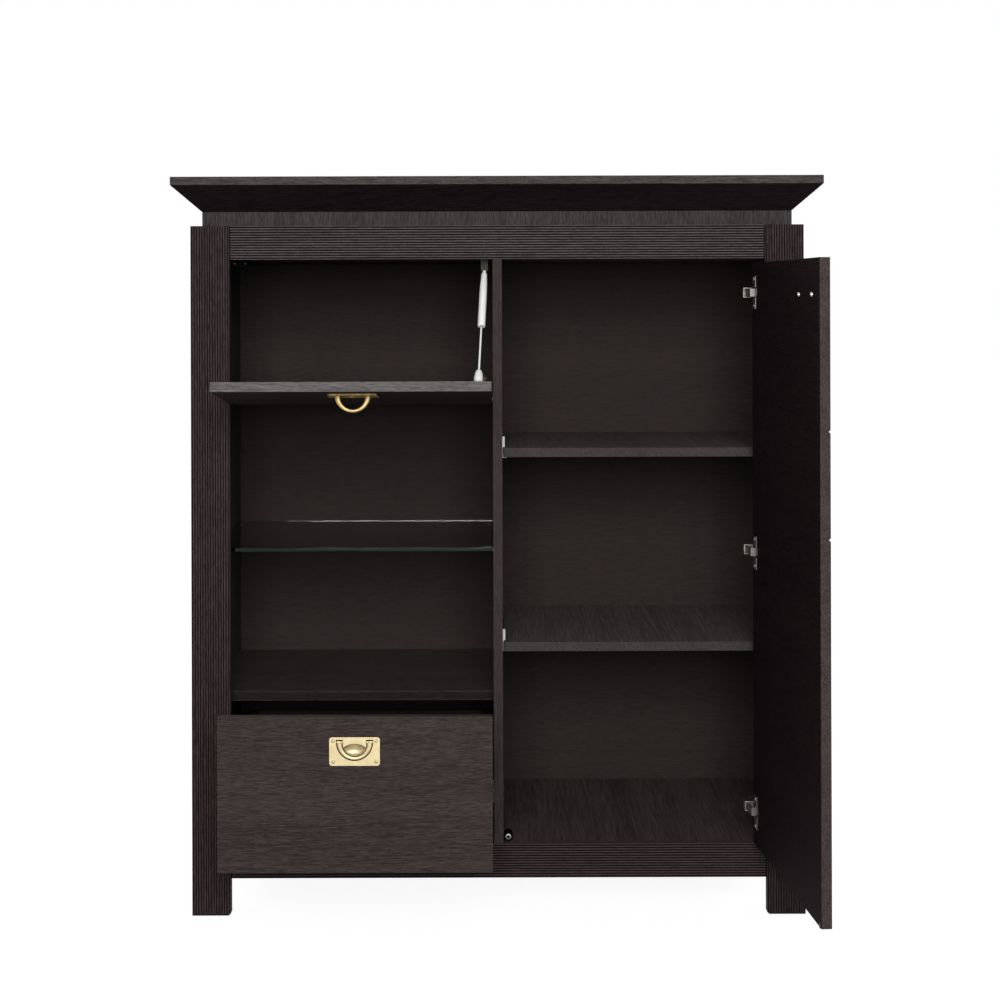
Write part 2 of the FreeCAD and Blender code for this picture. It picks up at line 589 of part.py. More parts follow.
def pull_plate(screws):
    """A cast plate with a channel for the bail and a dish for the fingers."""
    sheet_metal = block(
        ("-plate_width / 2", "-plate_thick", "-plate_height / 2"),
        ("plate_width", "plate_thick", "plate_height"),
    )
    doc.recompute()
    rounded = doc.addObject("Part::Fillet", "Rounded")
    rounded.Base = sheet_metal
    corner = SIZES["plate_corner"]
    rounded.Edges = [
        (number, corner, corner)
        for number, edge in enumerate(sheet_metal.Shape.Edges, start=1)
        if abs(edge.tangentAt(edge.FirstParameter).y) > abs(edge.tangentAt(edge.FirstParameter).x)
        and abs(edge.tangentAt(edge.FirstParameter).y) > abs(edge.tangentAt(edge.FirstParameter).z)
    ]
    pan = block(("-pan_width / 2", "0", "-pan_foot"), ("pan_width", "pan_depth", "pan_top + pan_foot"))
    face = "-plate_thick - overrun"
    deep = "channel_depth + overrun"
    wide = "bail_radius + bail_clear"
    ring = bar(("0", face, "pivot_rise"), "y", wide, deep)
    above = block((f"-({wide}) - overrun", face, "pivot_rise"), (f"2 * ({wide}) + 2 * overrun", deep, wide))
    root = ("bail_root + 2 * bail_clear", deep, "2 * channel_top")
    barrel_left = block((f"-({wide})", face, "pivot_rise - channel_top"), root)
    barrel_right = block((f"{wide} - bail_root - 2 * bail_clear", face, "pivot_rise - channel_top"), root)
    island = bar(
        ("0", f"{face} - overrun", f"pivot_rise - {BAIL_SHIFT}"), "y",
        f"{BAIL_INNER_RADIUS} - bail_clear", f"{deep} + 2 * overrun",
    )
    channel = cut(fuse(cut(ring, above), barrel_left, barrel_right), island)
    dish = doc.addObject("Part::Ellipsoid", "Dish")
    bind(dish, "Radius1", "dish_height / 2")
    bind(dish, "Radius2", "dish_width / 2")
    bind(dish, "Radius3", "dish_depth")
    bind(dish, "Placement.Base.y", "-plate_thick")
    bind(dish, "Placement.Base.z", "pivot_rise - dish_drop")
    tools = [channel, dish]
    pin_hole = "(bail_pin_length - bail_clear + bail_pin_end)"
    for start in (f"-({wide}) - {pin_hole}", wide):
        tools.append(bar(
            (start, PIVOT_DEPTH, "pivot_rise"), "x", "bail_pin_radius + bail_pin_clear", pin_hole))
    for side, up in SCREW_CORNERS if screws else ():
        x, z = f"{side}screw_x", f"{up}screw_z"
        tools.append(bar((x, face, z), "y", "screw_head_radius", "screw_head + overrun"))
        tools.append(bar((x, "-plate_thick", z), "y", "screw_shank_radius", "plate_thick + overrun"))
    return cut(fuse(rounded, pan), *tools)


def pull_screws():
    """The four screws of a pull's plate."""
    screws = []
    for side, up in SCREW_CORNERS:
        x, z = f"{side}screw_x", f"{up}screw_z"
        screws.append(fuse(
            bar((x, "-plate_thick - screw_proud", z), "y", "screw_head_radius", "screw_head + screw_proud"),
            bar((x, "-plate_thick", z), "y", "screw_shank_radius", "screw_length"),
        ))
    return group(*screws)


def pull_bail():
    """A half-ring bail that thins towards its foot, with its barrels and pins."""
    back = "-bail_thick / 2"
    disc = bar(("0", back, "0"), "y", "bail_radius", "bail_thick")
    above = block(("-bail_radius", back, "0"), ("2 * bail_radius", "bail_thick", "bail_radius"))
    through = "bail_thick + 2 * overrun"
    hole = bar(("0", f"{back} - overrun", f"-{BAIL_SHIFT}"), "y", BAIL_INNER_RADIUS, through)
    pieces = [cut(disc, above, hole)]
    for start, pin in (
        ("-bail_radius", "-bail_radius - bail_pin_length"),
        ("bail_radius - bail_root", "bail_radius"),
    ):
        pieces.append(bar((start, "0", "0"), "x", "barrel_radius", "bail_root"))
        pieces.append(bar((pin, "0", "0"), "x", "bail_pin_radius", "bail_pin_length"))
    return fuse(*pieces)


def build_pull(name, frame, across, face, up, bail_frame=None, screws=True):
    """One pull on its panel: plate, screws where it has them, and bail."""
    node(f"{name}_pull_plate", pull_plate(screws), frame, (across, face, up))
    if screws:
        node(f"{name}_pull_screws", pull_screws(), frame, (across, face, up))
    pivot = (across, f"{face} + {PIVOT_DEPTH}", f"{up} + pivot_rise")
    hung = bail_frame or Frame(frame.spot(pivot), frame.axis, frame.angle)
    node(f"{name}_bail", pull_bail(), hung)


def build_door():
    """The door with its V-grooves, hinge bores, pull and strike."""
    panel = block(
        (f"-{DOOR_WIDTH}", "0", DOOR_FOOT), (DOOR_WIDTH, "door_thick", f"{DOOR_TOP} - {DOOR_FOOT}"))
    tools = []
    for height in ("groove_upper", "groove_lower"):
        flank = "groove_depth * sqrt(2)"
        vee = block(ZERO, (f"{DOOR_WIDTH} + 2 * overrun", flank, flank))
        Frame((f"-{DOOR_WIDTH} - overrun", "0", f"{height} - groove_depth"), "x", "groove_turn").place(vee)
        tools.append(vee)
    for height in HINGE_HEIGHTS:
        tools.append(bar(
            ("-cup_edge", "door_thick - cup_depth", height), "y", "cup_radius", "cup_depth + overrun"))
    across = f"(door_pull_inset - {DOOR_WIDTH})"
    up = f"({DOOR_TOP} - door_pull_drop)"
    tools += pan_pocket(across, up, "0", screws=False)
    bolts = []
    for side in ("-", "+"):
        x = f"{across} {side} bolt_spacing / 2"
        tools.append(bar((x, "-overrun", up), "y", "bolt_radius", "door_thick + 2 * overrun"))
        bolts.append(fuse(
            bar((x, "0", up), "y", "bolt_radius", "door_thick"),
            bar((x, "door_thick", up), "y", "bolt_head_radius", "bolt_head"),
        ))
    node("door_panel", cut(panel, *tools), DOOR)
    node("door_pull_bolts", group(*bolts), DOOR)
    build_pull("door", DOOR, across, "0", up, screws=False)
    strike_x = f"{MID} + catch_side_gap + catch_radius - {OPENING} + door_gap"
    strike = bar((strike_x, "door_thick", f"{FLOOR} + catch_radius"), "y", "strike_radius", "strike_thick")
    node("door_strike", group(strike), DOOR)


def build_catches():
    """The round catch on the floor for the door and the twin catch for the flap."""
    left = f"{MID} + catch_side_gap"
    centre = f"{left} + catch_radius"
    node("door_catch", fuse(
        bar((centre, "catch_front", f"{FLOOR} + catch_radius"), "y", "catch_radius", "catch_length"),
        block((left, "catch_front + catch_radius", FLOOR),
              ("2 * catch_radius", "catch_length - catch_radius", "catch_radius")),
    ))
    start = f"-{OPENING} + catch_side_gap"
    middle = f"{start} + flap_catch_width / 2"
    low = f"{CEILING} - flap_catch_height"
    magnets = [
        bar((f"{middle} {side} flap_magnet_spacing / 2", "flap_catch_front - flap_magnet_stand",
             f"{low} + flap_catch_height / 2"), "y", "flap_magnet_radius", "flap_magnet_stand + overrun")
        for side in ("-", "+")
    ]
    housing = block(
        (start, "flap_catch_front", low), ("flap_catch_width", "flap_catch_depth", "flap_catch_height"))
    node("flap_catch", fuse(housing, *magnets))


def build_flap():
    """The fold-out flap on its two pivot pins, with its pull and strike."""
    back = "flap_thick / 2"
    left, right = FRONT_LEFT, FRONT_RIGHT
    panel = block(
        (left, f"-{back}", "-flap_tail"), (f"{right} - {left}", "flap_thick", f"{FLAP_TOP} + flap_tail"))
    up = f"({FLAP_TOP} - flap_pull_drop)"
    face = f"(-{back})"
    pins = []
    bores = []
    stand = "(flap_gap + bush_length)"
    for start, inside in ((f"{left} - {stand}", left), (f"{right} - pin_depth", f"{right} - pin_depth")):
        pins.append(bar((start, "0", "0"), "x", "pin_radius", f"pin_depth + {stand}"))
        bores.append(bar((inside, "0", "0"), "x", "pin_radius", "pin_depth"))
    strike_at = (
        f"-{OPENING} + catch_side_gap + (flap_catch_width - flap_strike_width) / 2",
        f"{back} - flap_strike_thick", f"{FLAP_TOP} - flap_strike_drop - flap_strike_height",
    )
    seat = block(strike_at, ("flap_strike_width", "flap_strike_thick + overrun", "flap_strike_height"))
    node("flap_panel", cut(panel, seat, *bores, *pan_pocket(FRONT_MIDDLE, up, face)), FLAP)
    node("flap_pivot_pins", group(*pins), FLAP)
    hang = Frame(FLAP.spot((FRONT_MIDDLE, f"{face} + {PIVOT_DEPTH}", f"{up} + pivot_rise")))
    build_pull("flap", FLAP, FRONT_MIDDLE, face, up, hang)
    strike = block(strike_at, ("flap_strike_width", "flap_strike_thick", "flap_strike_height"))
    node("flap_strike", group(strike), FLAP)
    bushes = []
    for start in (f"-{OPENING} - bush_length", f"-{MID}"):
        at = (start, "flap_thick / 2", FLAP_PIVOT)
        outer = bar(at, "x", "pin_radius + pin_clear + bush_wall", "bush_length")
        bushes.append(cut(outer, bar(at, "x", "pin_radius + pin_clear", "bush_length")))
    node("flap_bushes", group(*bushes))


def strut_ends():
    """The strut's upper pivot and its foot with the flap open, worked out from the sizes."""
    door_turn = math.radians(SIZES["door_open"])
    door_width = SIZES["body_width"] / 2 - SIZES["post_width"] - SIZES["board_thick"] / 2
    door_width -= 2 * SIZES["door_gap"]
    door_depth = door_width * math.sin(door_turn) - SIZES["door_thick"] * math.cos(door_turn)
    door_depth -= SIZES["door_pivot_in"] * math.sin(door_turn)
    door_depth -= SIZES["door_pivot_out"] * (math.cos(door_turn) - 1)
    front = (door_depth - SIZES["body_depth"]) / 2
    ceiling = SIZES["post_height"] - SIZES["rail_height"]
    top = FreeCAD.Vector(
        -SIZES["strut_top_x"], front + SIZES["strut_top_y"], ceiling - SIZES["strut_top_drop"])
    turn = math.radians(SIZES["flap_open"])
    out = SIZES["flap_thick"] / 2 + SIZES["strut_foot_stand"]
    along = SIZES["strut_foot_along"]
    pivot = ceiling - SIZES["flap_gap"] - SIZES["flap_height"] + SIZES["flap_tail"]
    foot = FreeCAD.Vector(
        -SIZES["strut_foot_x"],
        front + SIZES["flap_thick"] / 2 + out * math.cos(turn) - along * math.sin(turn),
        pivot + out * math.sin(turn) + along * math.cos(turn),
    )
    return top, foot


def strut_node(label, item, top, foot):
    """Put a strut piece on the line from its upper pivot to its foot."""
    item.Label = label
    aim = foot - top
    turn = FreeCAD.Rotation(FreeCAD.Vector(1, 0, 0), FreeCAD.Vector(), aim, "ZXY")
    item.Placement = FreeCAD.Placement(top, turn)
    nodes.append(item)


def build_strut():
    """The gas strut: tube, rod with its bell, ceiling bracket and flap bracket."""
    top, foot = strut_ends()
    span = f"{(foot - top).Length}"
    end = "tube_start + tube_length"
    bore = "tube_length - 2 * tube_cap"
    eye = bar(("-eye_width / 2", "0", "0"), "x", "eye_radius", "eye_width")
    shell = fuse(
        eye, bar(ZERO, "z", "neck_radius", "neck_length"),
        bar(("0", "0", "tube_start"), "z", "tube_radius", "tube_length"),
    )
    tube = cut(
        shell,
        bar(("-eye_width", "0", "0"), "x", "ear_pin_radius + eye_clear", "2 * eye_width"),
        bar(("0", "0", "tube_start + tube_cap"), "z", "tube_radius - tube_wall", bore),
        bar(("0", "0", end + " - tube_cap"), "z", "rod_radius + rod_clear", "tube_cap + overrun"),
    )
    strut_node("strut_tube", tube, top, foot)
    start = f"{end} - tube_cap - piston_back - piston_length"
    rod = fuse(
        bar(("0", "0", start), "z", "piston_radius", "piston_length"),
        bar(("0", "0", start), "z", "rod_radius", f"{span} - bell_length - ({start}) + overrun"),
        cone(("0", "0", f"{span} - bell_length"), "z", "bell_top_radius", "bell_foot_radius",
             "bell_length - bell_foot"),
        bar(("0", "0", f"{span} - bell_foot"), "z", "bell_foot_radius", "bell_foot"),
    )
    strut_node("strut_rod", rod, top, foot)

    ear_gap = "(eye_width / 2 + eye_clear)"
    outer = f"-strut_top_x - {ear_gap} - ear_thick"
    low = f"{CEILING} - strut_top_drop"
    ears = [block(
        (outer, "strut_top_y - mount_length / 2", f"{CEILING} - mount_plate"),
        (f"2 * ({ear_gap} + ear_thick)", "mount_length", "mount_plate"),
    )]
    tongue = ("ear_thick", "2 * ear_radius", "strut_top_drop")
    for x in (outer, f"-strut_top_x + {ear_gap}"):
        ears.append(bar((x, "strut_top_y", low), "x", "ear_radius", "ear_thick"))
        ears.append(block((x, "strut_top_y - ear_radius", low), tongue))
    ears.append(bar(
        (outer, "strut_top_y", low), "x", "ear_pin_radius", f"2 * ({ear_gap} + ear_thick)"))
    ears.append(block(
        (outer, "strut_top_y - ear_radius - web_thick", f"{low} - web_drop"),
        (f"2 * ({ear_gap} + ear_thick)", "web_thick", "strut_top_drop + web_drop"),
    ))
    node("strut_ceiling_bracket", fuse(*ears))

    face = "flap_thick / 2"
    lug_x = "-strut_foot_x + bell_foot_radius + lug_gap"
    centre = f"{face} + strut_foot_stand"
    node("strut_flap_bracket", fuse(
        block(
            (f"{lug_x} + lug_thick - foot_width", face, "strut_foot_along - foot_length / 2"),
            ("foot_width", "foot_plate", "foot_length"),
        ),
        block(
            (lug_x, face, "strut_foot_along - lug_width / 2"),
            ("lug_thick", "strut_foot_stand", "lug_width")),
        bar((lug_x, centre, "strut_foot_along"), "x", "lug_width / 2", "lug_thick"),
        bar((f"{lug_x} - lug_gap + stud_gap", centre, "strut_foot_along"), "x", "stud_radius",
            "lug_gap - stud_gap + lug_thick + stud_radius"),
    ), FLAP)


def build_drawer():
    """The drawer box with its front, pull and runners."""
    foot = f"({FLOOR} + door_gap)"
    wide = f"{FRONT_RIGHT} - {FRONT_LEFT}"
    panel = block((FRONT_LEFT, "0", foot), (wide, "front_thick", f"{DRAWER_TOP} - {foot}"))
    up = f"({DRAWER_TOP} - drawer_pull_drop)"
    node("drawer_front", cut(panel, *pan_pocket(FRONT_MIDDLE, up, "0")), DRAWER)
    build_pull("drawer", DRAWER, FRONT_MIDDLE, "0", up)
    left = f"(-{OPENING} + runner_room)"
    right = f"(-{MID} - runner_room)"
    inner_left, inner_right = f"({left} + drawer_side)", f"({right} - drawer_side)"
    inner = f"{inner_right} - {inner_left}"
    side = ("drawer_side", "drawer_length", "drawer_box_height")
    board("drawer_left_side", (left, "front_thick", "drawer_base"), side, DRAWER)
    board("drawer_right_side", (inner_right, "front_thick", "drawer_base"), side, DRAWER)
    board(
        "drawer_back", (inner_left, "front_thick + drawer_length - drawer_side", "drawer_base"),
        (inner, "drawer_side", "drawer_box_height"), DRAWER)
    board(
        "drawer_bottom", (inner_left, "front_thick", "drawer_base + drawer_floor_rise"),
        (inner, "drawer_length - drawer_side", "drawer_floor"), DRAWER)
    board(
        "runner_packer", (f"-{WALL}", "post_thick", "runner_centre - packer_height / 2"),
        (f"{WALL} - {OPENING}", "runner_front + runner_length - post_thick", "packer_height"))
    low = "runner_centre - runner_height / 2"
    inside = "runner_height - 2 * runner_wall - 2 * runner_clear"
    tongue = "runner_room - runner_wall - 2 * runner_clear"
    sides = (
        (f"-{OPENING}", f"-{OPENING}", f"{left} - ({tongue})"),
        (f"-{MID} - runner_wall", f"-{MID} - runner_lip", right),
    )
    rails, slides = [], []
    for web, lip, slide in sides:
        rails.append(fuse(
            block((web, "runner_front", low), ("runner_wall", "runner_length", "runner_height")),
            block((lip, "runner_front", low), ("runner_lip", "runner_length", "runner_wall")),
            block((lip, "runner_front", "runner_centre + runner_height / 2 - runner_wall"),
                  ("runner_lip", "runner_length", "runner_wall")),
        ))
        slides.append(block(
            (slide, "front_thick", f"{low} + runner_wall + runner_clear"),
            (tongue, "drawer_length", inside)))
    node("cabinet_runners", group(*rails))
    node("drawer_runners", group(*slides), DRAWER)


def write_parts():
    """Check every object and write each sub-part to its own file."""
    doc.recompute()
    failed = [item.Label for item in doc.Objects if {"Invalid", "Error"} & set(item.State)]
    failed += [item.Label for item in nodes if item.Shape.isNull() or not item.Shape.isValid()]
    if failed:
        raise RuntimeError(f"failed objects: {failed}")
    os.makedirs("parts", exist_ok=True)
    for item in nodes:
        item.Shape.exportStep(f"parts/{item.Label}.step")
    print(len(nodes), "sub-parts written")


build_posts()
build_rails()
build_sides()
build_carcass()
build_frieze()
build_crown()
build_shelves()
build_shelf_supports()
build_hinge_seats()
build_hinge_cups()
build_door()
build_catches()
build_flap()
build_strut()
build_drawer()
write_parts()
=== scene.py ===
"""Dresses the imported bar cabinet: grained boards, brass drop pulls, hinges, gas strut and a studio."""

from __future__ import annotations

import logging
import math
from dataclasses import dataclass, field, replace
from enum import Enum

import bmesh
import bpy
from mathutils import Matrix, Vector

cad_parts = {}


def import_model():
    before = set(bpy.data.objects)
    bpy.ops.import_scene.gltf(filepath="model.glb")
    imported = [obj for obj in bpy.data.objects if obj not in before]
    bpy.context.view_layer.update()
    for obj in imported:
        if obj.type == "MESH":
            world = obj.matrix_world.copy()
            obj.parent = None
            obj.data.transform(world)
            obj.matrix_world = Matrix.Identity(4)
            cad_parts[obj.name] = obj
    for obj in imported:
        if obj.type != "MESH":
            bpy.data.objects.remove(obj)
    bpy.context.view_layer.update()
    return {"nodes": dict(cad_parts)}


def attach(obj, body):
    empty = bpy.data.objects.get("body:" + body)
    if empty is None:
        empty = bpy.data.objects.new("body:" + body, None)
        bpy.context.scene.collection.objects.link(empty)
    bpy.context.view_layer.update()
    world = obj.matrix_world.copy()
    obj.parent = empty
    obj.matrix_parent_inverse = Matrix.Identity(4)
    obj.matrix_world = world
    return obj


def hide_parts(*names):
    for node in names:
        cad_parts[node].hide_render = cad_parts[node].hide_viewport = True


LOG = logging.getLogger("bar_cabinet")
Colour = tuple[float, float, float]
Point = tuple[float, float, float]
Range = tuple[object, object]
Profile = list[tuple[float, float]]
Shares = tuple[tuple[float, float], ...]
Mesh = bmesh.types.BMesh
Object = bpy.types.Object
Material = bpy.types.Material
Node = bpy.types.Node
Outputs = bpy.types.NodeOutputs
Socket = bpy.types.NodeSocket
Tree = bpy.types.NodeTree

WHITE: Colour = (1.0, 1.0, 1.0)
ORIGIN: Point = (0.0, 0.0, 0.0)
FORWARD: Point = (0.0, -1.0, 0.0)
BACKWARD: Point = (0.0, 1.0, 0.0)
LEFT: Point = (-1.0, 0.0, 0.0)
RIGHT: Point = (1.0, 0.0, 0.0)

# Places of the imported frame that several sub-assemblies share, in metres
POST_FRONT = 0.003773
OPENING = 0.523
FLOOR_PANEL = 0.138
CEILING = 1.279
PULL_ACROSS = -0.266
BAIL_PIVOT: Point = (0.0, -0.0005, 0.017)
FLAP_PIVOT = 1.005
HINGE_HEIGHTS = (0.205, 0.7085, 1.212)


class Grain(Enum):
    """The way a board's grain runs, as the turn that brings it to the texture's own X axis."""

    ACROSS = (0.0, 0.0, 0.0)
    UPRIGHT = (0.0, math.pi / 2, 0.0)
    DEEP = (0.0, 0.0, -math.pi / 2)
    DOOR = (0.0, 0.0, -math.radians(95))


class Recess(Enum):
    """The recess in a screw's head, as its reach in radii and the turns of its bars."""

    SLOT = (1.2, (0.0,))
    CROSS = (0.62, (0.0, math.pi / 2))


class Kind(Enum):
    """What a shared effect's socket carries."""

    VALUE = "NodeSocketFloat"
    COLOUR = "NodeSocketColor"
    VECTOR = "NodeSocketVector"


Sockets = dict[Kind, tuple[str, ...]]
TINT_OUT: Sockets = {Kind.COLOUR: ("Color",)}
SKIN_OUT: Sockets = {Kind.COLOUR: ("Color",), Kind.VALUE: ("Roughness", "Height")}


class Wiring:
    """Adds nodes to one shader tree and joins their sockets."""

    def __init__(self, tree: Tree) -> None:
        """Keep the tree that the nodes go into."""
        self.tree = tree

    def feed(self, socket: Socket, value: object) -> None:
        """Link a socket to another one, or set its own value.

        Args:
            socket: The input to feed.
            value: An output socket, a number, a colour or a vector.
        """
        if isinstance(value, bpy.types.NodeSocket):
            self.tree.links.new(value, socket)
        elif socket.type == "RGBA" and len(value) == 3:
            socket.default_value = (*value, 1.0)
        else:
            socket.default_value = value

    def add(self, kind: str, inputs: dict | None = None, **settings: object) -> Node:
        """Add one node.

        Args:
            kind: The node's type, without its ShaderNode prefix.
            inputs: What feeds its inputs, by name or number.
            **settings: The node's own settings.

        Returns:
            The new node.
        """
        node = self.tree.nodes.new(kind if kind.startswith("Node") else f"ShaderNode{kind}")
        for name, value in settings.items():
            setattr(node, name, value)
        for key, value in (inputs or {}).items():
            self.feed(node.inputs[key], value)
        return node

    def place(self, group: Tree, inputs: dict[str, object]) -> Outputs:
        """Place a shared effect in this tree and return its named outputs."""
        return self.add("Group", inputs, node_tree=group).outputs

    def math(self, operation: str, *values: object) -> Socket:
        """Return the result of one sum on values."""
        return self.add("Math", dict(enumerate(values)), operation=operation).outputs[0]

    def vector(self, operation: str, *values: object) -> Outputs:
        """Return the outputs of one sum on vectors."""
        return self.add("VectorMath", dict(enumerate(values)), operation=operation).outputs

    def remap(self, value: object, old: Range, new: Range = (0.0, 1.0)) -> Socket:
        """Return a value moved from one range to another and held there."""
        return self.add("MapRange", dict(enumerate((value, *old, *new)))).outputs[0]

    def blend(self, share: object, first: object, second: object, kind: str = "MIX") -> Socket:
        """Return two colours blended.

        Args:
            share: How much of the second colour shows.
            first: The colour below.
            second: The colour above.
            kind: The way they blend.

        Returns:
            The socket with the blended colour.
        """
        node = self.add("Mix", {0: share}, data_type="RGBA", blend_type=kind)
        self.feed(node.inputs[6], first)
        self.feed(node.inputs[7], second)
        return node.outputs[2]

    def noise(self, at: object, cells: Point, detail: float = 4.0, roughness: float = 0.55) -> Socket:
        """Return noise on stretched coordinates.

        Args:
            at: The coordinates, in metres.
            cells: Noise cells per metre along each axis.
            detail: How many finer layers it has.
            roughness: How strong they are.

        Returns:
            The socket with the noise value.
        """
        spread = self.vector("MULTIPLY", at, cells)[0]
        inputs = {"Vector": spread, "Scale": 1.0, "Detail": detail, "Roughness": roughness}
        return self.add("TexNoise", inputs).outputs[0]


class SharedEffect(Wiring):
    """A shader node group with named inputs and outputs."""

    def __init__(self, name: str, inputs: Sockets, outputs: Sockets) -> None:
        """Make the group with its sockets.

        Args:
            name: The effect's name.
            inputs: The names of its inputs, by what they carry.
            outputs: The names of its outputs, by what they carry.
        """
        super().__init__(bpy.data.node_groups.new(name, "ShaderNodeTree"))
        for way, sockets in (("INPUT", inputs), ("OUTPUT", outputs)):
            for kind, labels in sockets.items():
                for label in labels:
                    self.tree.interface.new_socket(name=label, in_out=way, socket_type=kind.value)
        self.given = self.add("NodeGroupInput").outputs
        self.result = self.add("NodeGroupOutput").inputs

    def give(self, values: dict[str, Socket]) -> Tree:
        """Feed the group's outputs.

        Args:
            values: What each output gives.

        Returns:
            The finished group.
        """
        for label, value in values.items():
            self.feed(self.result[label], value)
        return self.tree


class Effects:
    """The node groups that several finishes share, each built once.

    Cells are noise cells per metre, along the grain or lines first. A range says where a noise or an
    angle starts to show and where it shows fully, and a swing is how far a roughness goes both ways.
    """

    BEND_CELLS = (2.2, 9.0, 9.0)
    BEND_WIDTH = 0.012
    # Cells, detail, roughness and share of the fine, middle and broad streaks
    STREAK_LAYERS = (
        ((65.0, 760.0, 760.0), 2.0, 0.5, 0.42),
        ((26.0, 420.0, 420.0), 3.0, 0.55, 0.42),
        ((1.6, 24.0, 24.0), 3.0, 0.55, 0.16),
    )
    STREAK_RANGE = (0.41, 0.59)
    PORE_CELLS = (80.0, 700.0, 700.0)
    PORE_RANGE = (0.56, 0.7)
    PORE_TONE = (0.006, 0.004, 0.004)
    SATIN_SWING = (-0.07, 0.07)
    MIDDLE_RANGE = (0.3, 0.7)
    EDGE_RANGE = (0.995, 0.86)
    EDGE_PATCH_CELLS = (60.0, 60.0, 60.0)
    EDGE_PATCH_RANGE = (0.3, 0.6)
    SIDE_RANGE = (0.8, 0.95)
    OPEN_CORNER = 0.93
    SPOT_CELLS = (160.0, 160.0, 160.0)
    SPOT_RANGE = (0.2, 0.7)
    SPOT_SHARE = (0.6, 1.0)
    LINE_CELLS = (90.0, 2600.0, 2600.0)
    LINE_SWING = (-0.06, 0.06)
    CLOUD_CELLS = (70.0, 70.0, 70.0)
    CLOUD_RANGE = (0.4, 0.72)
    CLOUD_DULLING = 0.08
    PEBBLE_CELLS = (1900.0, 1900.0, 1900.0)
    MOTTLE_CELLS = (45.0, 45.0, 45.0)
    MOTTLE_RANGE = (0.45, 0.8)
    MOTTLE_SWING = (-0.05, 0.05)

    def __init__(self) -> None:
        """Build every shared effect."""
        self.wood = self.wood_grain()
        self.edges = self.edge_wear_and_highlight()
        self.band_and_face_shade = self.edge_band_and_face_shade()
        self.recess = self.recess_dirt_and_shade()
        self.brushed = self.brushed_lines()
        self.skin = self.moulded_skin()

    def wood_grain(self) -> Tree:
        """Make streaks, broad bands and pores along the X axis of the given coordinates.

        Returns:
            The node group.
        """
        group = SharedEffect("wood grain", {
            Kind.VECTOR: ("Vector", "Stretch"), Kind.COLOUR: ("Ground", "Streak"),
            Kind.VALUE: ("Pores", "Satin"),
        }, SKIN_OUT)
        given = group.given
        at = group.vector("MULTIPLY", given["Vector"], given["Stretch"])[0]
        bent = group.noise(at, self.BEND_CELLS, 2.0)
        wave = group.math("MULTIPLY", group.math("SUBTRACT", bent, 0.5), self.BEND_WIDTH)
        flowing = group.vector("ADD", at, group.add("CombineXYZ", {1: wave, 2: wave}).outputs[0])[0]
        mixed = 0.0
        for cells, detail, roughness, part in self.STREAK_LAYERS:
            mixed = group.math("MULTIPLY_ADD", group.noise(flowing, cells, detail, roughness), part, mixed)
        share = group.remap(mixed, self.STREAK_RANGE)
        pores = group.remap(group.noise(flowing, self.PORE_CELLS, 2.0), self.PORE_RANGE)
        depth = group.math("MULTIPLY", pores, given["Pores"])
        tone = group.blend(share, given["Ground"], given["Streak"])
        swing = group.remap(mixed, self.MIDDLE_RANGE, self.SATIN_SWING)
        return group.give({
            "Color": group.blend(depth, tone, self.PORE_TONE),
            "Roughness": group.math("ADD", given["Satin"], swing),
            "Height": group.math("SUBTRACT", share, depth),
        })

    def edge_wear_and_highlight(self) -> Tree:
        """Make a colour that is lighter along sharp edges: wear, and painted highlight where a finish uses
        it that way.

        Returns:
            The node group.
        """
        group = SharedEffect("edge wear", {
            Kind.VECTOR: ("Vector",), Kind.COLOUR: ("Color", "Edge Tone"), Kind.VALUE: ("Amount", "Width"),
        }, TINT_OUT)
        given = group.given
        rounded = group.add("Bevel", {"Radius": given["Width"]}, samples=4).outputs[0]
        true = group.add("NewGeometry").outputs["Normal"]
        edge = group.remap(group.vector("DOT_PRODUCT", rounded, true)["Value"], self.EDGE_RANGE)
        patchy = group.remap(group.noise(given["Vector"], self.EDGE_PATCH_CELLS, 3.0), self.EDGE_PATCH_RANGE)
        mask = group.math("MULTIPLY", group.math("MULTIPLY", edge, patchy), given["Amount"])
        return group.give({"Color": group.blend(mask, given["Color"], given["Edge Tone"])})

    def edge_band_and_face_shade(self) -> Tree:
        """Make a colour with the tape that covers a board on one side; the same mask lays painted shade on
        one face.

        Returns:
            The node group.
        """
        group = SharedEffect("edge band", {
            Kind.VECTOR: ("Normal", "Side"), Kind.COLOUR: ("Color", "Strip", "Side Tint"),
        }, TINT_OUT)
        given = group.given
        facing = group.vector("DOT_PRODUCT", given["Normal"], given["Side"])["Value"]
        tinted = group.blend(1.0, given["Strip"], given["Side Tint"], "MULTIPLY")
        mask = group.remap(facing, self.SIDE_RANGE)
        return group.give({"Color": group.blend(mask, given["Color"], tinted)})

    def recess_dirt_and_shade(self) -> Tree:
        """Make a colour that is darker in corners and hollows: dirt and patina, and painted shade where
        shade falls.

        Returns:
            The node group.
        """
        group = SharedEffect("recess dirt and painted shade", {
            Kind.VECTOR: ("Vector",), Kind.COLOUR: ("Color", "Tone"),
            Kind.VALUE: ("Reach", "Full", "Amount"),
        }, TINT_OUT)
        given = group.given
        near = group.add("AmbientOcclusion", {"Distance": given["Reach"]}, samples=8).outputs["AO"]
        hidden = group.remap(near, (self.OPEN_CORNER, given["Full"]))
        spots = group.noise(given["Vector"], self.SPOT_CELLS, 4.0)
        patchy = group.remap(spots, self.SPOT_RANGE, self.SPOT_SHARE)
        mask = group.math("MULTIPLY", group.math("MULTIPLY", hidden, patchy), given["Amount"])
        return group.give({"Color": group.blend(mask, given["Color"], given["Tone"])})

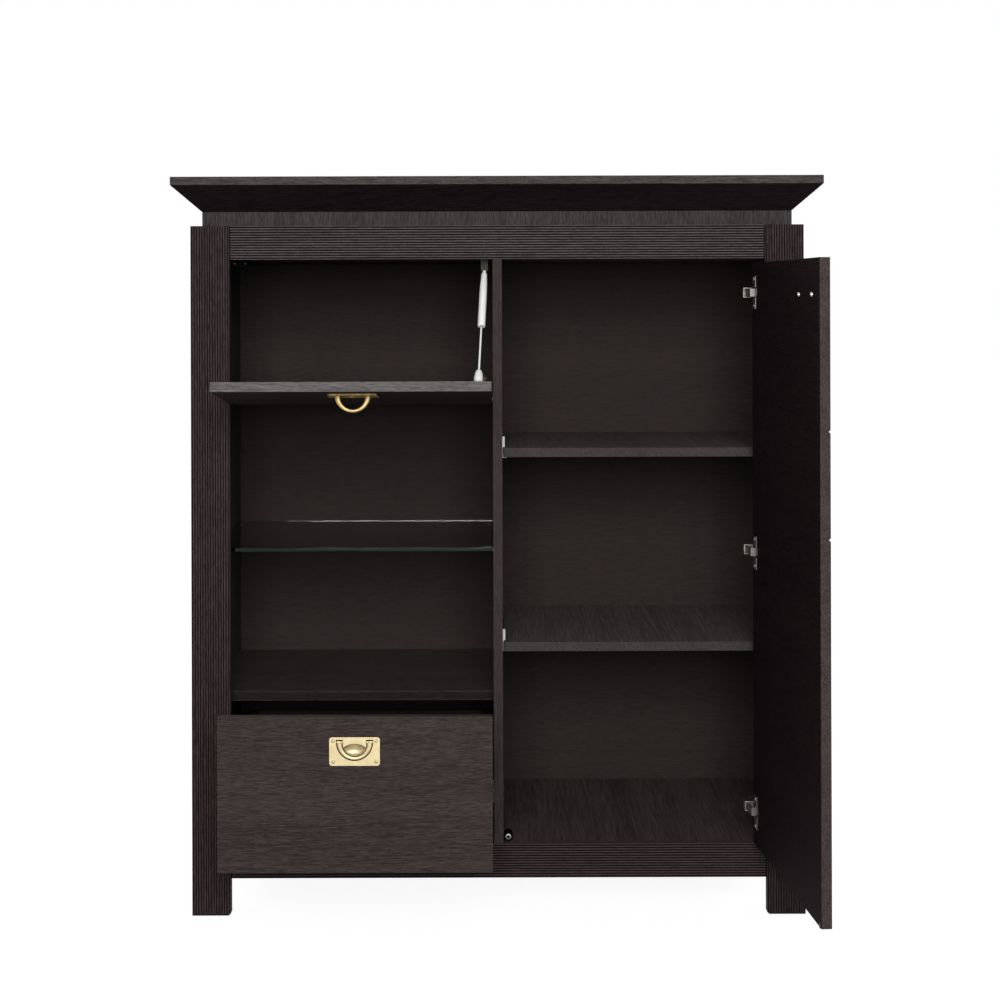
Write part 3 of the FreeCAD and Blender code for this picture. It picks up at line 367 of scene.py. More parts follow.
    def brushed_lines(self) -> Tree:
        """Make fine polishing lines and clouding for a metal.

        Returns:
            The node group.
        """
        group = SharedEffect("brushed lines", {
            Kind.VECTOR: ("Vector",), Kind.COLOUR: ("Color", "Clouded"), Kind.VALUE: ("Polish",),
        }, SKIN_OUT)
        given = group.given
        lines = group.noise(given["Vector"], self.LINE_CELLS, 2.0)
        share = group.remap(group.noise(given["Vector"], self.CLOUD_CELLS, 5.0), self.CLOUD_RANGE)
        swing = group.remap(lines, self.MIDDLE_RANGE, self.LINE_SWING)
        rough = group.math("ADD", given["Polish"], swing)
        return group.give({
            "Color": group.blend(share, given["Color"], given["Clouded"]),
            "Roughness": group.math("MULTIPLY_ADD", share, self.CLOUD_DULLING, rough),
            "Height": lines,
        })

    def moulded_skin(self) -> Tree:
        """Make the faint mottling of moulded plastic or sprayed enamel.

        Returns:
            The node group.
        """
        group = SharedEffect("moulded skin", {
            Kind.VECTOR: ("Vector",), Kind.COLOUR: ("Color", "Soiled"), Kind.VALUE: ("Sheen",),
        }, SKIN_OUT)
        given = group.given
        clouds = group.noise(given["Vector"], self.MOTTLE_CELLS, 4.0)
        share = group.remap(clouds, self.MOTTLE_RANGE)
        swing = group.remap(clouds, self.MIDDLE_RANGE, self.MOTTLE_SWING)
        return group.give({
            "Color": group.blend(share, given["Color"], given["Soiled"]),
            "Roughness": group.math("ADD", given["Sheen"], swing),
            "Height": group.noise(given["Vector"], self.PEBBLE_CELLS, 2.0),
        })


class Surface(Wiring):
    """A material's own tree, with its shader, its coordinates and the shared effects."""

    def __init__(self, paint: Material, effects: Effects) -> None:
        """Find the material's shader and add its coordinates.

        Args:
            paint: The material.
            effects: The shared effects.
        """
        super().__init__(paint.node_tree)
        self.effects = effects
        self.shader = next(node for node in self.tree.nodes if node.type == "BSDF_PRINCIPLED")
        self.at = self.add("TexCoord").outputs

    def shade(self, inputs: dict[str, object]) -> None:
        """Feed the shader's own inputs, each by its name."""
        for name, value in inputs.items():
            self.feed(self.shader.inputs[name], value)

    def bump(self, height: Socket, depth: float, strength: float) -> None:
        """Feed the shader's normal from a height, with the relief's depth in metres and its strength."""
        relief = self.add("Bump", {"Height": height, "Distance": depth, "Strength": strength})
        self.shade({"Normal": relief.outputs[0]})

    def worn_and_highlit(self, colour: object, bare: Colour, amount: float, width: float) -> Socket:
        """Lighten a colour along the edges, as wear and, for some finishes, as a painted highlight.

        Args:
            colour: The colour before.
            bare: What shows along the edges.
            amount: How much of it shows.
            width: How far from the edge, in metres.

        Returns:
            The socket with the lightened colour.
        """
        return self.place(self.effects.edges, {
            "Vector": self.at["Object"], "Color": colour, "Edge Tone": bare, "Amount": amount, "Width": width,
        })["Color"]

    def toned(self, colour: object, tone: Colour, reach: float, full: float, amount: float) -> Socket:
        """Darken a colour in the corners, as dirt and patina and as painted shade.

        Args:
            colour: The colour before.
            tone: The colour laid in the corners, dirt and painted shade.
            reach: How wide a corner counts, in metres.
            full: How open a corner may be and still be filled.
            amount: How much of the tone shows.

        Returns:
            The socket with the darkened colour.
        """
        return self.place(self.effects.recess, {
            "Vector": self.at["Object"], "Color": colour, "Tone": tone,
            "Reach": reach, "Full": full, "Amount": amount,
        })["Color"]


@dataclass(frozen=True)
class Finish:
    """What every finish has: a name and the making of its material."""

    name: str

    def material(self, effects: Effects) -> Material:
        """Make the finish's material the first time it is asked for.

        Args:
            effects: The shared effects.

        Returns:
            The material.
        """
        made = bpy.data.materials.get(self.name)
        if made is None:
            made = bpy.data.materials.new(self.name)
            made.use_nodes = True
            self.wire(Surface(made, effects))
        return made

    def wire(self, surface: Surface) -> None:
        """Join the effects to the shader, each finish in its own way."""
        raise NotImplementedError


@dataclass(frozen=True)
class WoodFinish(Finish):
    """Dark wood-grain board, with a tinted strip on one edge and painted shade in its reeds and grooves
    where it has them.
    """

    grain: Grain
    ground: Colour = (0.024, 0.018, 0.0175)
    streak: Colour = (0.066, 0.052, 0.050)
    pores: float = 0.55
    satin: float = 0.7
    # Edge lightening: wear, and on the niche shelf a painted highlight
    wear_and_highlight: float = 0.25
    wear_and_highlight_width: float = 0.001
    worn_and_highlit: Colour = (0.11, 0.095, 0.09)
    gloss: float = 0.08
    side: Point = FORWARD
    # Edge tint multiplier: tape on most boards; on the flap a painted highlight, on the shelves it darkens
    # the front edges against their painted top light
    edge_tint: Colour = WHITE
    tape_grain: Grain | None = None
    tape_even: float = 0.2
    # Painted shade: a darker multiplier on one face, standing in for the shade on the door's inner face
    painted_face_shade: Colour = WHITE
    painted_shade_face: Point = ORIGIN
    offset: Point = ORIGIN
    length: float = 1.0
    # Painted shade: a near-black colour laid into the reed and groove hollows, where shade falls
    painted_groove_shade: float = 0.0
    groove_shade_reach: float = 0.0035
    groove_shade_full: float = 0.82
    groove_shade_colour: Colour = (0.0015, 0.001, 0.001)
    relief: float = 0.00012
    relief_strength: float = 0.5

    def wire(self, surface: Surface) -> None:
        """Join grain, edge tint, painted face shade, edge wear with painted highlight and painted groove
        shade to the shader.

        Args:
            surface: The material's wiring.
        """
        grain = strip = self.board(surface, self.grain)
        if self.tape_grain:
            strip = self.board(surface, self.tape_grain, self.tape_even)
        colour = grain["Color"]
        # The first pair lays painted shade on one face, the second the edge tint
        sides = ((self.painted_shade_face, self.painted_face_shade, colour), (self.side, self.edge_tint, strip["Color"]))
        for side, tint, shown in sides:
            if tint != WHITE:
                colour = surface.place(surface.effects.band_and_face_shade, {
                    "Normal": surface.at["Normal"], "Side": side,
                    "Color": colour, "Strip": shown, "Side Tint": tint,
                })["Color"]
        colour = surface.worn_and_highlit(colour, self.worn_and_highlit, self.wear_and_highlight, self.wear_and_highlight_width)
        # Painted shade in the reeds and grooves
        if self.painted_groove_shade:
            colour = surface.toned(
                colour, self.groove_shade_colour, self.groove_shade_reach, self.groove_shade_full, self.painted_groove_shade,
            )
        surface.shade({
            "Base Color": colour, "Roughness": grain["Roughness"], "Specular IOR Level": self.gloss,
        })
        surface.bump(grain["Height"], self.relief, self.relief_strength)

    def board(self, surface: Surface, grain: Grain, even: float = 0.0) -> Outputs:
        """Lay the grain one way.

        Args:
            surface: The material's wiring.
            grain: The way the grain runs.
            even: How far its tones come together, up to one.

        Returns:
            The placed grain's outputs.
        """
        turn = {"Vector": surface.at["Object"], "Location": self.offset, "Rotation": grain.value}
        middle = Vector(self.ground).lerp(Vector(self.streak), 0.5)
        return surface.place(surface.effects.wood, {
            "Vector": surface.add("Mapping", turn).outputs[0], "Stretch": (1.0 / self.length, 1.0, 1.0),
            "Pores": self.pores * (1.0 - even), "Satin": self.satin,
            "Ground": tuple(Vector(self.ground).lerp(middle, even)),
            "Streak": tuple(Vector(self.streak).lerp(middle, even)),
        })


@dataclass(frozen=True)
class MetalFinish(Finish):
    """Plated or cast metal with polishing lines, darker corners (patina, and painted shade) and bright
    edges.
    """

    colour: Colour
    clouded: Colour
    # The tone in corners and hollows is patina and painted shade
    tone: Colour
    polish: float = 0.28
    reach: float = 0.006
    full: float = 0.35
    corners: float = 0.8
    bright: Colour = (0.8, 0.76, 0.68)
    rubbed: float = 0.3
    rub_width: float = 0.0006
    relief: float = 0.00003
    relief_strength: float = 0.25

    def wire(self, surface: Surface) -> None:
        """Join polish, recess tone and rubbed edges to the shader.

        Args:
            surface: The material's wiring.
        """
        lines = surface.place(surface.effects.brushed, {
            "Vector": surface.at["Object"], "Color": self.colour, "Clouded": self.clouded,
            "Polish": self.polish,
        })
        colour = surface.toned(lines["Color"], self.tone, self.reach, self.full, self.corners)
        colour = surface.worn_and_highlit(colour, self.bright, self.rubbed, self.rub_width)
        surface.shade({"Base Color": colour, "Roughness": lines["Roughness"], "Metallic": 1.0})
        surface.bump(lines["Height"], self.relief, self.relief_strength)


@dataclass(frozen=True)
class MouldedFinish(Finish):
    """Moulded plastic or sprayed enamel."""

    colour: Colour
    soiled: Colour
    sheen: float = 0.42
    coat: float = 0.0
    gloss: float = 0.5
    reach: float = 0.004
    full: float = 0.35
    corners: float = 0.7
    relief: float = 0.00004
    relief_strength: float = 0.3

    def wire(self, surface: Surface) -> None:
        """Join mottling and corner dirt to the shader.

        Args:
            surface: The material's wiring.
        """
        skin = surface.place(surface.effects.skin, {
            "Vector": surface.at["Object"], "Color": self.colour, "Soiled": self.soiled,
            "Sheen": self.sheen,
        })
        surface.shade({
            "Base Color": surface.toned(skin["Color"], self.soiled, self.reach, self.full, self.corners),
            "Roughness": skin["Roughness"], "Coat Weight": self.coat, "Specular IOR Level": self.gloss,
        })
        surface.bump(skin["Height"], self.relief, self.relief_strength)


@dataclass(frozen=True)
class GlassFinish(Finish):
    """Clear float glass, greener through its polished edges."""

    face: Colour = (0.97, 0.99, 0.98)
    edge: Colour = (0.23, 0.36, 0.27)
    glint: Colour = (0.42, 0.58, 0.48)
    bend: float = 1.5
    face_range: Range = (0.93, 0.995)
    wipe_sheen: float = 0.03
    wipe_range: Range = (0.0, 0.08)
    wipe_gloss: Range = (0.0, 0.05)

    def wire(self, surface: Surface) -> None:
        """Join the edge tint and faint wiping marks to the shader.

        Args:
            surface: The material's wiring.
        """
        up = surface.add("SeparateXYZ", {0: surface.at["Normal"]}).outputs[2]
        level = surface.remap(surface.math("ABSOLUTE", up), self.face_range)
        wipes = surface.place(surface.effects.skin, {
            "Vector": surface.at["Object"], "Color": self.face, "Soiled": self.edge,
            "Sheen": self.wipe_sheen,
        })
        surface.shade({
            "Base Color": surface.blend(level, self.edge, self.face),
            "Roughness": surface.remap(wipes["Roughness"], self.wipe_range, self.wipe_gloss),
            "Transmission Weight": 1.0, "IOR": self.bend, "Specular Tint": self.glint,
        })


POST_REEDS = WoodFinish(
    "reeded wenge, upright", Grain.UPRIGHT, (0.028, 0.0185, 0.0195), (0.07, 0.0475, 0.0495),
    wear_and_highlight=0.15, wear_and_highlight_width=0.0004, painted_groove_shade=1.3,
)
RAIL_REEDS = WoodFinish(
    "reeded wenge, across", Grain.ACROSS, (0.056, 0.0445, 0.0455), (0.106, 0.085, 0.087),
    pores=0.3, wear_and_highlight=0.15, wear_and_highlight_width=0.0004, painted_groove_shade=1.7,
)
# Foot rail: a darker copy of the rail's tones, painted shade for the lower rail that gets less light
FOOT_REEDS = replace(
    RAIL_REEDS, name="reeded wenge, foot rail",
    ground=(0.036, 0.0242, 0.0255), streak=(0.07, 0.0475, 0.051),
)
FRIEZE_BOARD = WoodFinish(
    "wenge frieze", Grain.UPRIGHT, (0.024, 0.0202, 0.0204), (0.068, 0.0585, 0.059), pores=0.5,
)
SLAB_BOARD = WoodFinish("wenge top slab", Grain.ACROSS, edge_tint=(1.42, 1.58, 1.6))
# Crown boards: tones darkened as painted shade for the sloped, down-facing crown
CROWN_BOARD = WoodFinish(
    "wenge crown, across", Grain.ACROSS, (0.0066, 0.0046, 0.005), (0.0172, 0.0122, 0.013), gloss=0.02,
)
CROWN_ENDS = WoodFinish(
    "wenge crown, front to back", Grain.DEEP, (0.012, 0.009, 0.009), (0.028, 0.021, 0.021), gloss=0.02,
)
BOARD_UPRIGHT = WoodFinish("wenge board, upright", Grain.UPRIGHT)
# Door: the quarter-bright multiplier on its inner face is painted shade, and its grooves get painted shade
DOOR_BOARD = WoodFinish(
    "wenge board, door", Grain.DOOR, gloss=0.02, side=(0.0872, -0.9962, 0.0), edge_tint=(1.32, 1.32, 1.3),
    painted_face_shade=(0.25, 0.2, 0.23), painted_shade_face=(-0.9962, -0.0872, 0.0), painted_groove_shade=0.9,
)
# Flap: darker tones are painted shade for its down-facing underside; its front edge strip, four to five
# times brighter, is a painted highlight
FLAP_BOARD = WoodFinish(
    "wenge board, flap", Grain.ACROSS, (0.018, 0.0135, 0.0132), (0.049, 0.0385, 0.0375), gloss=0.01,
    side=(0.0, -0.9903, 0.1392), edge_tint=(4.0, 4.76, 4.8), tape_grain=Grain.ACROSS, tape_even=0.3,
)
DRAWER_BOARD = WoodFinish(
    "wenge board, drawer", Grain.ACROSS, (0.0255, 0.0185, 0.0182), (0.067, 0.0507, 0.0493),
    wear_and_highlight=0.5, offset=(0.3, 0.0, 0.2),
)
DIVIDER_BOARD = WoodFinish(
    "wenge inside, upright", Grain.UPRIGHT, (0.03, 0.0225, 0.0215), (0.052, 0.0395, 0.0375),
    pores=0.3, wear_and_highlight=0.15, edge_tint=(1.1, 1.1, 1.15),
)
BACK_BOARD = WoodFinish(
    "wenge back", Grain.ACROSS, (0.026, 0.0188, 0.0182), (0.0375, 0.0272, 0.0262), pores=0.15, wear_and_highlight=0.1,
)
# Shelves: tones lightened as painted light on the top faces; the edge tint darkens the front edges back
SHELF_BOARD = WoodFinish(
    "wenge shelf, painted top light", Grain.DEEP, (0.06, 0.0487, 0.0482), (0.125, 0.1025, 0.1015), pores=0.4, wear_and_highlight=0.15,
    edge_tint=(0.615, 0.62, 0.615), length=5.0,
)
FLOOR_BOARD = WoodFinish(
    "wenge floor panel", Grain.DEEP, (0.0355, 0.0258, 0.0265), (0.0855, 0.0635, 0.0645), wear_and_highlight=0.15,
    length=5.0,
)
# Niche shelf: full edge lightening 2.5 mm wide is a painted highlight along its front top edge
NICHE_BOARD = WoodFinish(
    "wenge niche shelf", Grain.ACROSS, wear_and_highlight=1.0, wear_and_highlight_width=0.0025, edge_tint=(0.3, 0.31, 0.32),
)
INSIDE_ACROSS = WoodFinish("wenge inside, across", Grain.ACROSS, wear_and_highlight=0.15)
# Drawer box: tones about half the other boards', painted shade for the dark inside of the drawer
BOX_ACROSS = WoodFinish(
    "drawer box, across", Grain.ACROSS, (0.012, 0.009, 0.009), (0.027, 0.0205, 0.02), wear_and_highlight=0.1,
)
BOX_DEEP = replace(BOX_ACROSS, name="drawer box, front to back", grain=Grain.DEEP)
# Antique brass: the dark tone in the pull's dish and hollows is partly patina, partly painted shade for
# the dish's shaded top
BRASS = MetalFinish(
    "antique brass", (0.57, 0.48, 0.29), (0.46, 0.37, 0.2), (0.11, 0.068, 0.022), polish=0.42,
    reach=0.016, full=0.68, corners=1.0, bright=(0.85, 0.79, 0.6), rubbed=0.45,
)
# Brass darkened to about six tenths: painted shade for the flap's pull under the flap
SHADED_BRASS = MetalFinish(
    "brass, painted shade", (0.4, 0.3, 0.135), (0.32, 0.235, 0.1), (0.09, 0.055, 0.018), polish=0.45,
    reach=0.016, full=0.68, corners=1.0, bright=(0.55, 0.43, 0.22), rubbed=0.35,
)
# Nickel darkened well below plated nickel: painted shade for the hinges and pins in the cabinet's shade
SHADED_NICKEL = MetalFinish(
    "nickel plate, painted shade", (0.28, 0.265, 0.245), (0.21, 0.2, 0.185), (0.04, 0.037, 0.034),
    polish=0.36, rubbed=0.15,
)
BRIGHT_STEEL = MetalFinish(
    "bright steel", (0.62, 0.61, 0.59), (0.5, 0.49, 0.47), (0.1, 0.1, 0.09), polish=0.3,
)
CHROME = MetalFinish(
    "chromed rod", (0.78, 0.78, 0.79), (0.7, 0.7, 0.71), (0.3, 0.3, 0.3), polish=0.12, rubbed=0.2,
)
ZINC = MetalFinish("zinc plate", (0.4, 0.4, 0.4), (0.32, 0.32, 0.32), (0.08, 0.08, 0.08), polish=0.4)
WHITE_PLASTIC = MouldedFinish("white plastic", (0.86, 0.86, 0.83), (0.68, 0.67, 0.63))
WHITE_ENAMEL = MouldedFinish(
    "white enamel", (0.95, 0.95, 0.935), (0.86, 0.86, 0.83), sheen=0.3, coat=0.2, relief=0.00001,
)
# A very dark olive-brown on the strut brackets and the flap catch's faces
OLIVE_STEEL = MouldedFinish("dark olive steel", (0.036, 0.032, 0.017), (0.02, 0.018, 0.01), gloss=0.1)
BLACK_PLASTIC = MouldedFinish("black plastic", (0.002, 0.002, 0.002), (0.004, 0.004, 0.004), gloss=0.0)
BLACK_STEEL = MouldedFinish("blackened steel", (0.006, 0.0045, 0.005), (0.01, 0.008, 0.008), gloss=0.05)
GLASS = GlassFinish("clear glass")


def placed(name: str, data: object) -> Object:
    """Put a new object in the scene.

    Args:
        name: The object's name.
        data: Its mesh, lamp or camera.

    Returns:
        The object.
    """
    made = bpy.data.objects.new(name, data)
    bpy.context.scene.collection.objects.link(made)
    return made


def mesh_object(name: str, mesh: Mesh) -> Object:
    """Put a mesh in the scene as a new object.

    Args:
        name: The object's name.
        mesh: The mesh, used up here.

    Returns:
        The object.
    """
    data = bpy.data.meshes.new(name)
    mesh.to_mesh(data)
    mesh.free()
    return placed(name, data)


def joined(parts: list[Mesh]) -> Mesh:
    """Make several meshes one.

    Args:
        parts: The meshes, used up here.

    Returns:
        The whole mesh.
    """
    whole = bmesh.new()
    for part in parts:
        scratch = bpy.data.meshes.new("joined")
        part.to_mesh(scratch)
        part.free()
        whole.from_mesh(scratch)
        bpy.data.meshes.remove(scratch)
    return whole


def moved(mesh: Mesh, place: Matrix) -> Mesh:
    """Return a mesh after moving it."""
    bmesh.ops.transform(mesh, matrix=place, verts=mesh.verts)
    return mesh


def turned_to(direction: Point | Vector, origin: Point | Vector, spin: float = 0.0) -> Matrix:
    """Return the place that brings Z to a direction, after a spin about Z in radians."""
    aim = Vector(direction).normalized().to_track_quat("Z", "Y").to_matrix().to_4x4()
    return Matrix.Translation(origin) @ aim @ Matrix.Rotation(spin, 4, "Z")


def skinned(mesh: Mesh, rings: list[list[bmesh.types.BMVert]], closed: bool = False) -> Mesh:
    """Lay faces between rings of points.

    Args:
        mesh: The mesh that holds the points.
        rings: The rings, from one end to the other, all with as many points.
        closed: Whether the last ring meets the first, instead of a cap at each end.

    Returns:
        The same mesh with its faces.
    """
    count = len(rings[0])
    for low, high in zip(rings, rings[1:] + rings[:1] if closed else rings[1:]):
        for step in range(count):
            after = (step + 1) % count
            mesh.faces.new((low[step], low[after], high[after], high[step]))
    if not closed:
        mesh.faces.new(list(reversed(rings[0])))
        mesh.faces.new(rings[-1])
    return mesh


def scaled(shares: Shares, wide: float, start: float, tall: float) -> Profile:
    """Return a profile from shares of a radius and of a height above a start."""
    return [(wide * across, start + tall * along) for across, along in shares]


def lathe(profile: Profile, steps: int = 40, closed: bool = False) -> Mesh:
    """Turn a profile about the Z axis.

    Args:
        profile: Radius and height of each point, from one end to the other.
        steps: How many faces go round.
        closed: Whether the profile's last point meets its first, round a hole.

    Returns:
        The turned mesh.
    """
    mesh = bmesh.new()
    angles = [2 * math.pi * step / steps for step in range(steps)]
    rings = [
        [mesh.verts.new((radius * math.cos(turn), radius * math.sin(turn), height)) for turn in angles]
        for radius, height in profile
    ]
    return skinned(mesh, rings, closed)


@dataclass(frozen=True)
class ScrewHead:
    """A raised head with a slot or a cross cut in it, and a short shank."""

    radius: float
    rise: float
    sunk: float
    bar: float = 0.0009
    recess: Recess = Recess.SLOT
    rim: float = 0.2
    dome_turns: tuple[float, ...] = (0.35, 0.7, 1.0, 1.25, 1.45)
    steps: int = 48
    cut_in_dome: float = 0.75
    cut_in_seat: float = 0.3

    def mesh(self) -> Mesh:
        """Make the head, its top towards Z and its seat at zero, and cut its recess by a boolean.

        Returns:
            The finished head.
        """
        dome = [(self.radius, -self.sunk), (self.radius, self.rise * self.rim)]
        for turn in self.dome_turns:
            height = self.rim + (1.0 - self.rim) * math.sin(turn)
            dome.append((self.radius * math.cos(turn), self.rise * height))
        head = mesh_object("head", lathe(dome, self.steps))
        for bar in self.bars():
            taken = head.modifiers.new("recess", "BOOLEAN")
            taken.operation = "DIFFERENCE"
            taken.solver = "EXACT"
            taken.object = mesh_object("cutter", bar)
        seen = bpy.context.evaluated_depsgraph_get()
        shaped = bpy.data.meshes.new_from_object(head.evaluated_get(seen))
        result = bmesh.new()
        result.from_mesh(shaped)
        bpy.data.meshes.remove(shaped)
        for modifier in head.modifiers:
            bpy.data.objects.remove(modifier.object)
        bpy.data.objects.remove(head)
        return result

    def bars(self) -> list[Mesh]:
        """Make the bars that cut the recess.

        Returns:
            One bar for a slot, two for a cross.
        """
        reach, turns = self.recess.value
        deep = self.rise * self.cut_in_dome + self.sunk * self.cut_in_seat
        size = Matrix.Diagonal((2 * self.radius * reach, self.bar, 2 * deep, 1.0))
        top = Matrix.Translation((0.0, 0.0, self.rise))
        made = []
        for turn in turns:
            bar = bmesh.new()
            bmesh.ops.create_cube(bar, size=1.0)
            made.append(moved(bar, top @ Matrix.Rotation(turn, 4, "Z") @ size))
        return made


PLATE_SCREW = ScrewHead(0.0023, 0.0004, 0.0019)
PULL_BOLT = ScrewHead(0.0042, 0.004, 0.001, 0.001, Recess.CROSS)
FLANGE_SCREW = ScrewHead(0.004, 0.002, 0.001, 0.001, Recess.CROSS)
ARM_RIVET = ScrewHead(0.0024, 0.0009, 0.0006, 0.0004)
ADJUSTER = ScrewHead(0.0034, 0.0012, 0.001, 0.0009, Recess.CROSS)


class Workshop:
    """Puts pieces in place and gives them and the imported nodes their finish."""

    WELD_GAP = 0.00001
    SOFT_ANGLE = math.radians(35)
    CRISP_ANGLE = math.radians(38)

    def __init__(self, nodes: dict[str, Object]) -> None:
        """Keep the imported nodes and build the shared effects.

        Args:
            nodes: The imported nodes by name.
        """
        self.nodes = nodes
        self.effects = Effects()
        self.dressed: set[str] = set()

    def dress(self, finish: Finish, soften: float, *names: str) -> None:
        """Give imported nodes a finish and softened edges.

        Args:
            finish: The finish.
            soften: The width of the softened edges in metres.
            *names: The nodes' names.
        """
        for name in names:
            node = self.nodes[name]
            node.data.materials.clear()
            node.data.materials.append(finish.material(self.effects))
            node.modifiers.new("weld", "WELD").merge_threshold = self.WELD_GAP
            bevel = node.modifiers.new("soften", "BEVEL")
            bevel.width = soften
            bevel.segments = 2
            bevel.limit_method = "ANGLE"
            bevel.angle_limit = self.SOFT_ANGLE
            node.modifiers.new("shade", "WEIGHTED_NORMAL")
            self.dressed.add(name)
            LOG.info("dressed %s in %s", name, finish.name)

    def piece(
        self, name: str, mesh: Mesh, finish: Finish, body: str, slot: str, *stands_for: str,
    ) -> None:
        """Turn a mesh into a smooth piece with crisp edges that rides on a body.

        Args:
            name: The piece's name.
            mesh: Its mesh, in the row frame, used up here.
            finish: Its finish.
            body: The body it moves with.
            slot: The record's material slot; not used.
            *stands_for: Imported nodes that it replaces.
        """
        bmesh.ops.recalc_face_normals(mesh, faces=mesh.faces)
        made = mesh_object(name, mesh)
        made.data.materials.append(finish.material(self.effects))
        for face in made.data.polygons:
            face.use_smooth = True
        made.modifiers.new("crisp", "EDGE_SPLIT").split_angle = self.CRISP_ANGLE
        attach(made, body)
        if stands_for:
            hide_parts(*stands_for)
        LOG.info("made %s in %s on %s", name, finish.name, body)


@dataclass
class Assembly:
    """What every sub-assembly has: the workshop that makes and dresses its pieces."""

    shop: Workshop

    def build(self) -> None:
        """Make and dress the pieces, each sub-assembly its own."""
        raise NotImplementedError


@dataclass
class Carcass(Assembly):
    """The fixed boards, posts, rails, crown and shelves."""

    fine: float = 0.0003
    soft: float = 0.0009
    glass_edge: float = 0.0012

    def build(self) -> None:
        """Dress every fixed board and fitting."""
        dress, fine, soft = self.shop.dress, self.fine, self.soft
        dress(POST_REEDS, fine, "left_front_post", "right_front_post")
        dress(RAIL_REEDS, fine, "top_rail")
        dress(FOOT_REEDS, fine, "bottom_rail")
        dress(BOARD_UPRIGHT, soft, "left_side_panel", "right_side_panel")
        dress(FRIEZE_BOARD, soft, "front_frieze", "left_frieze", "right_frieze")
        dress(SLAB_BOARD, soft, "top_slab", "rear_top_board")
        dress(CROWN_BOARD, soft, "front_crown")
        dress(CROWN_ENDS, soft, "left_crown", "right_crown")
        dress(DIVIDER_BOARD, soft, "centre_divider", "hinge_blocks")
        dress(BACK_BOARD, soft, "back_panel")
        dress(SHELF_BOARD, soft, "upper_shelf", "lower_shelf")
        dress(FLOOR_BOARD, soft, "carcass_bottom")
        dress(NICHE_BOARD, soft, "niche_shelf")
        dress(INSIDE_ACROSS, soft, "carcass_top", "bar_shelf", "runner_packer")
        dress(GLASS, self.glass_edge, "glass_shelf")
        dress(SHADED_NICKEL, fine, "glass_shelf_pins")
        dress(WHITE_PLASTIC, fine, "shelf_brackets")
        dress(BLACK_PLASTIC, fine, "flap_bushes")
        dress(ZINC, fine, "cabinet_runners")


@dataclass
class Catches(Assembly):
    """The catches that hold the door and the flap shut."""

    housing_edge: float = 0.0008
    door_centre: Point = (0.0185, POST_FRONT + 0.02, FLOOR_PANEL + 0.0085)
    door_disc: float = 0.0058
    flap_spots: tuple[float, float] = (-0.5145, -0.4935)
    flap_front: float = POST_FRONT + 0.0195
    flap_height: float = CEILING - 0.007
    flap_disc: float = 0.0017
    proud: float = 0.0003
    sunk: float = 0.001
    # Shares of the radius and of the proud height, from the rim to the dish in the middle
    dish: Shares = ((1.0, 0.5), (0.93, 1.0), (0.5, 1.0), (0.42, -1.0), (0.1, -1.0))

    def build(self) -> None:
        """Dress the housings and set their steel faces in them."""
        self.shop.dress(BLACK_PLASTIC, self.housing_edge, "door_catch", "flap_catch")
        face = self.disc(self.door_disc, self.door_centre)
        self.shop.piece("door_catch_face", face, SHADED_NICKEL, "carcass", "nickel")
        faces = [
            self.disc(self.flap_disc, (across, self.flap_front, self.flap_height))
            for across in self.flap_spots
        ]
        self.shop.piece("flap_catch_faces", joined(faces), OLIVE_STEEL, "carcass", "nickel")

    def disc(self, radius: float, at: Point) -> Mesh:
        """Make a dished steel face that looks forward.

        Args:
            radius: Its radius.
            at: The middle of its seat.

        Returns:
            The mesh in its place.
        """
        profile = [(radius, -self.sunk)] + scaled(self.dish, radius, 0.0, self.proud)
        return moved(lathe(profile), turned_to(FORWARD, at))


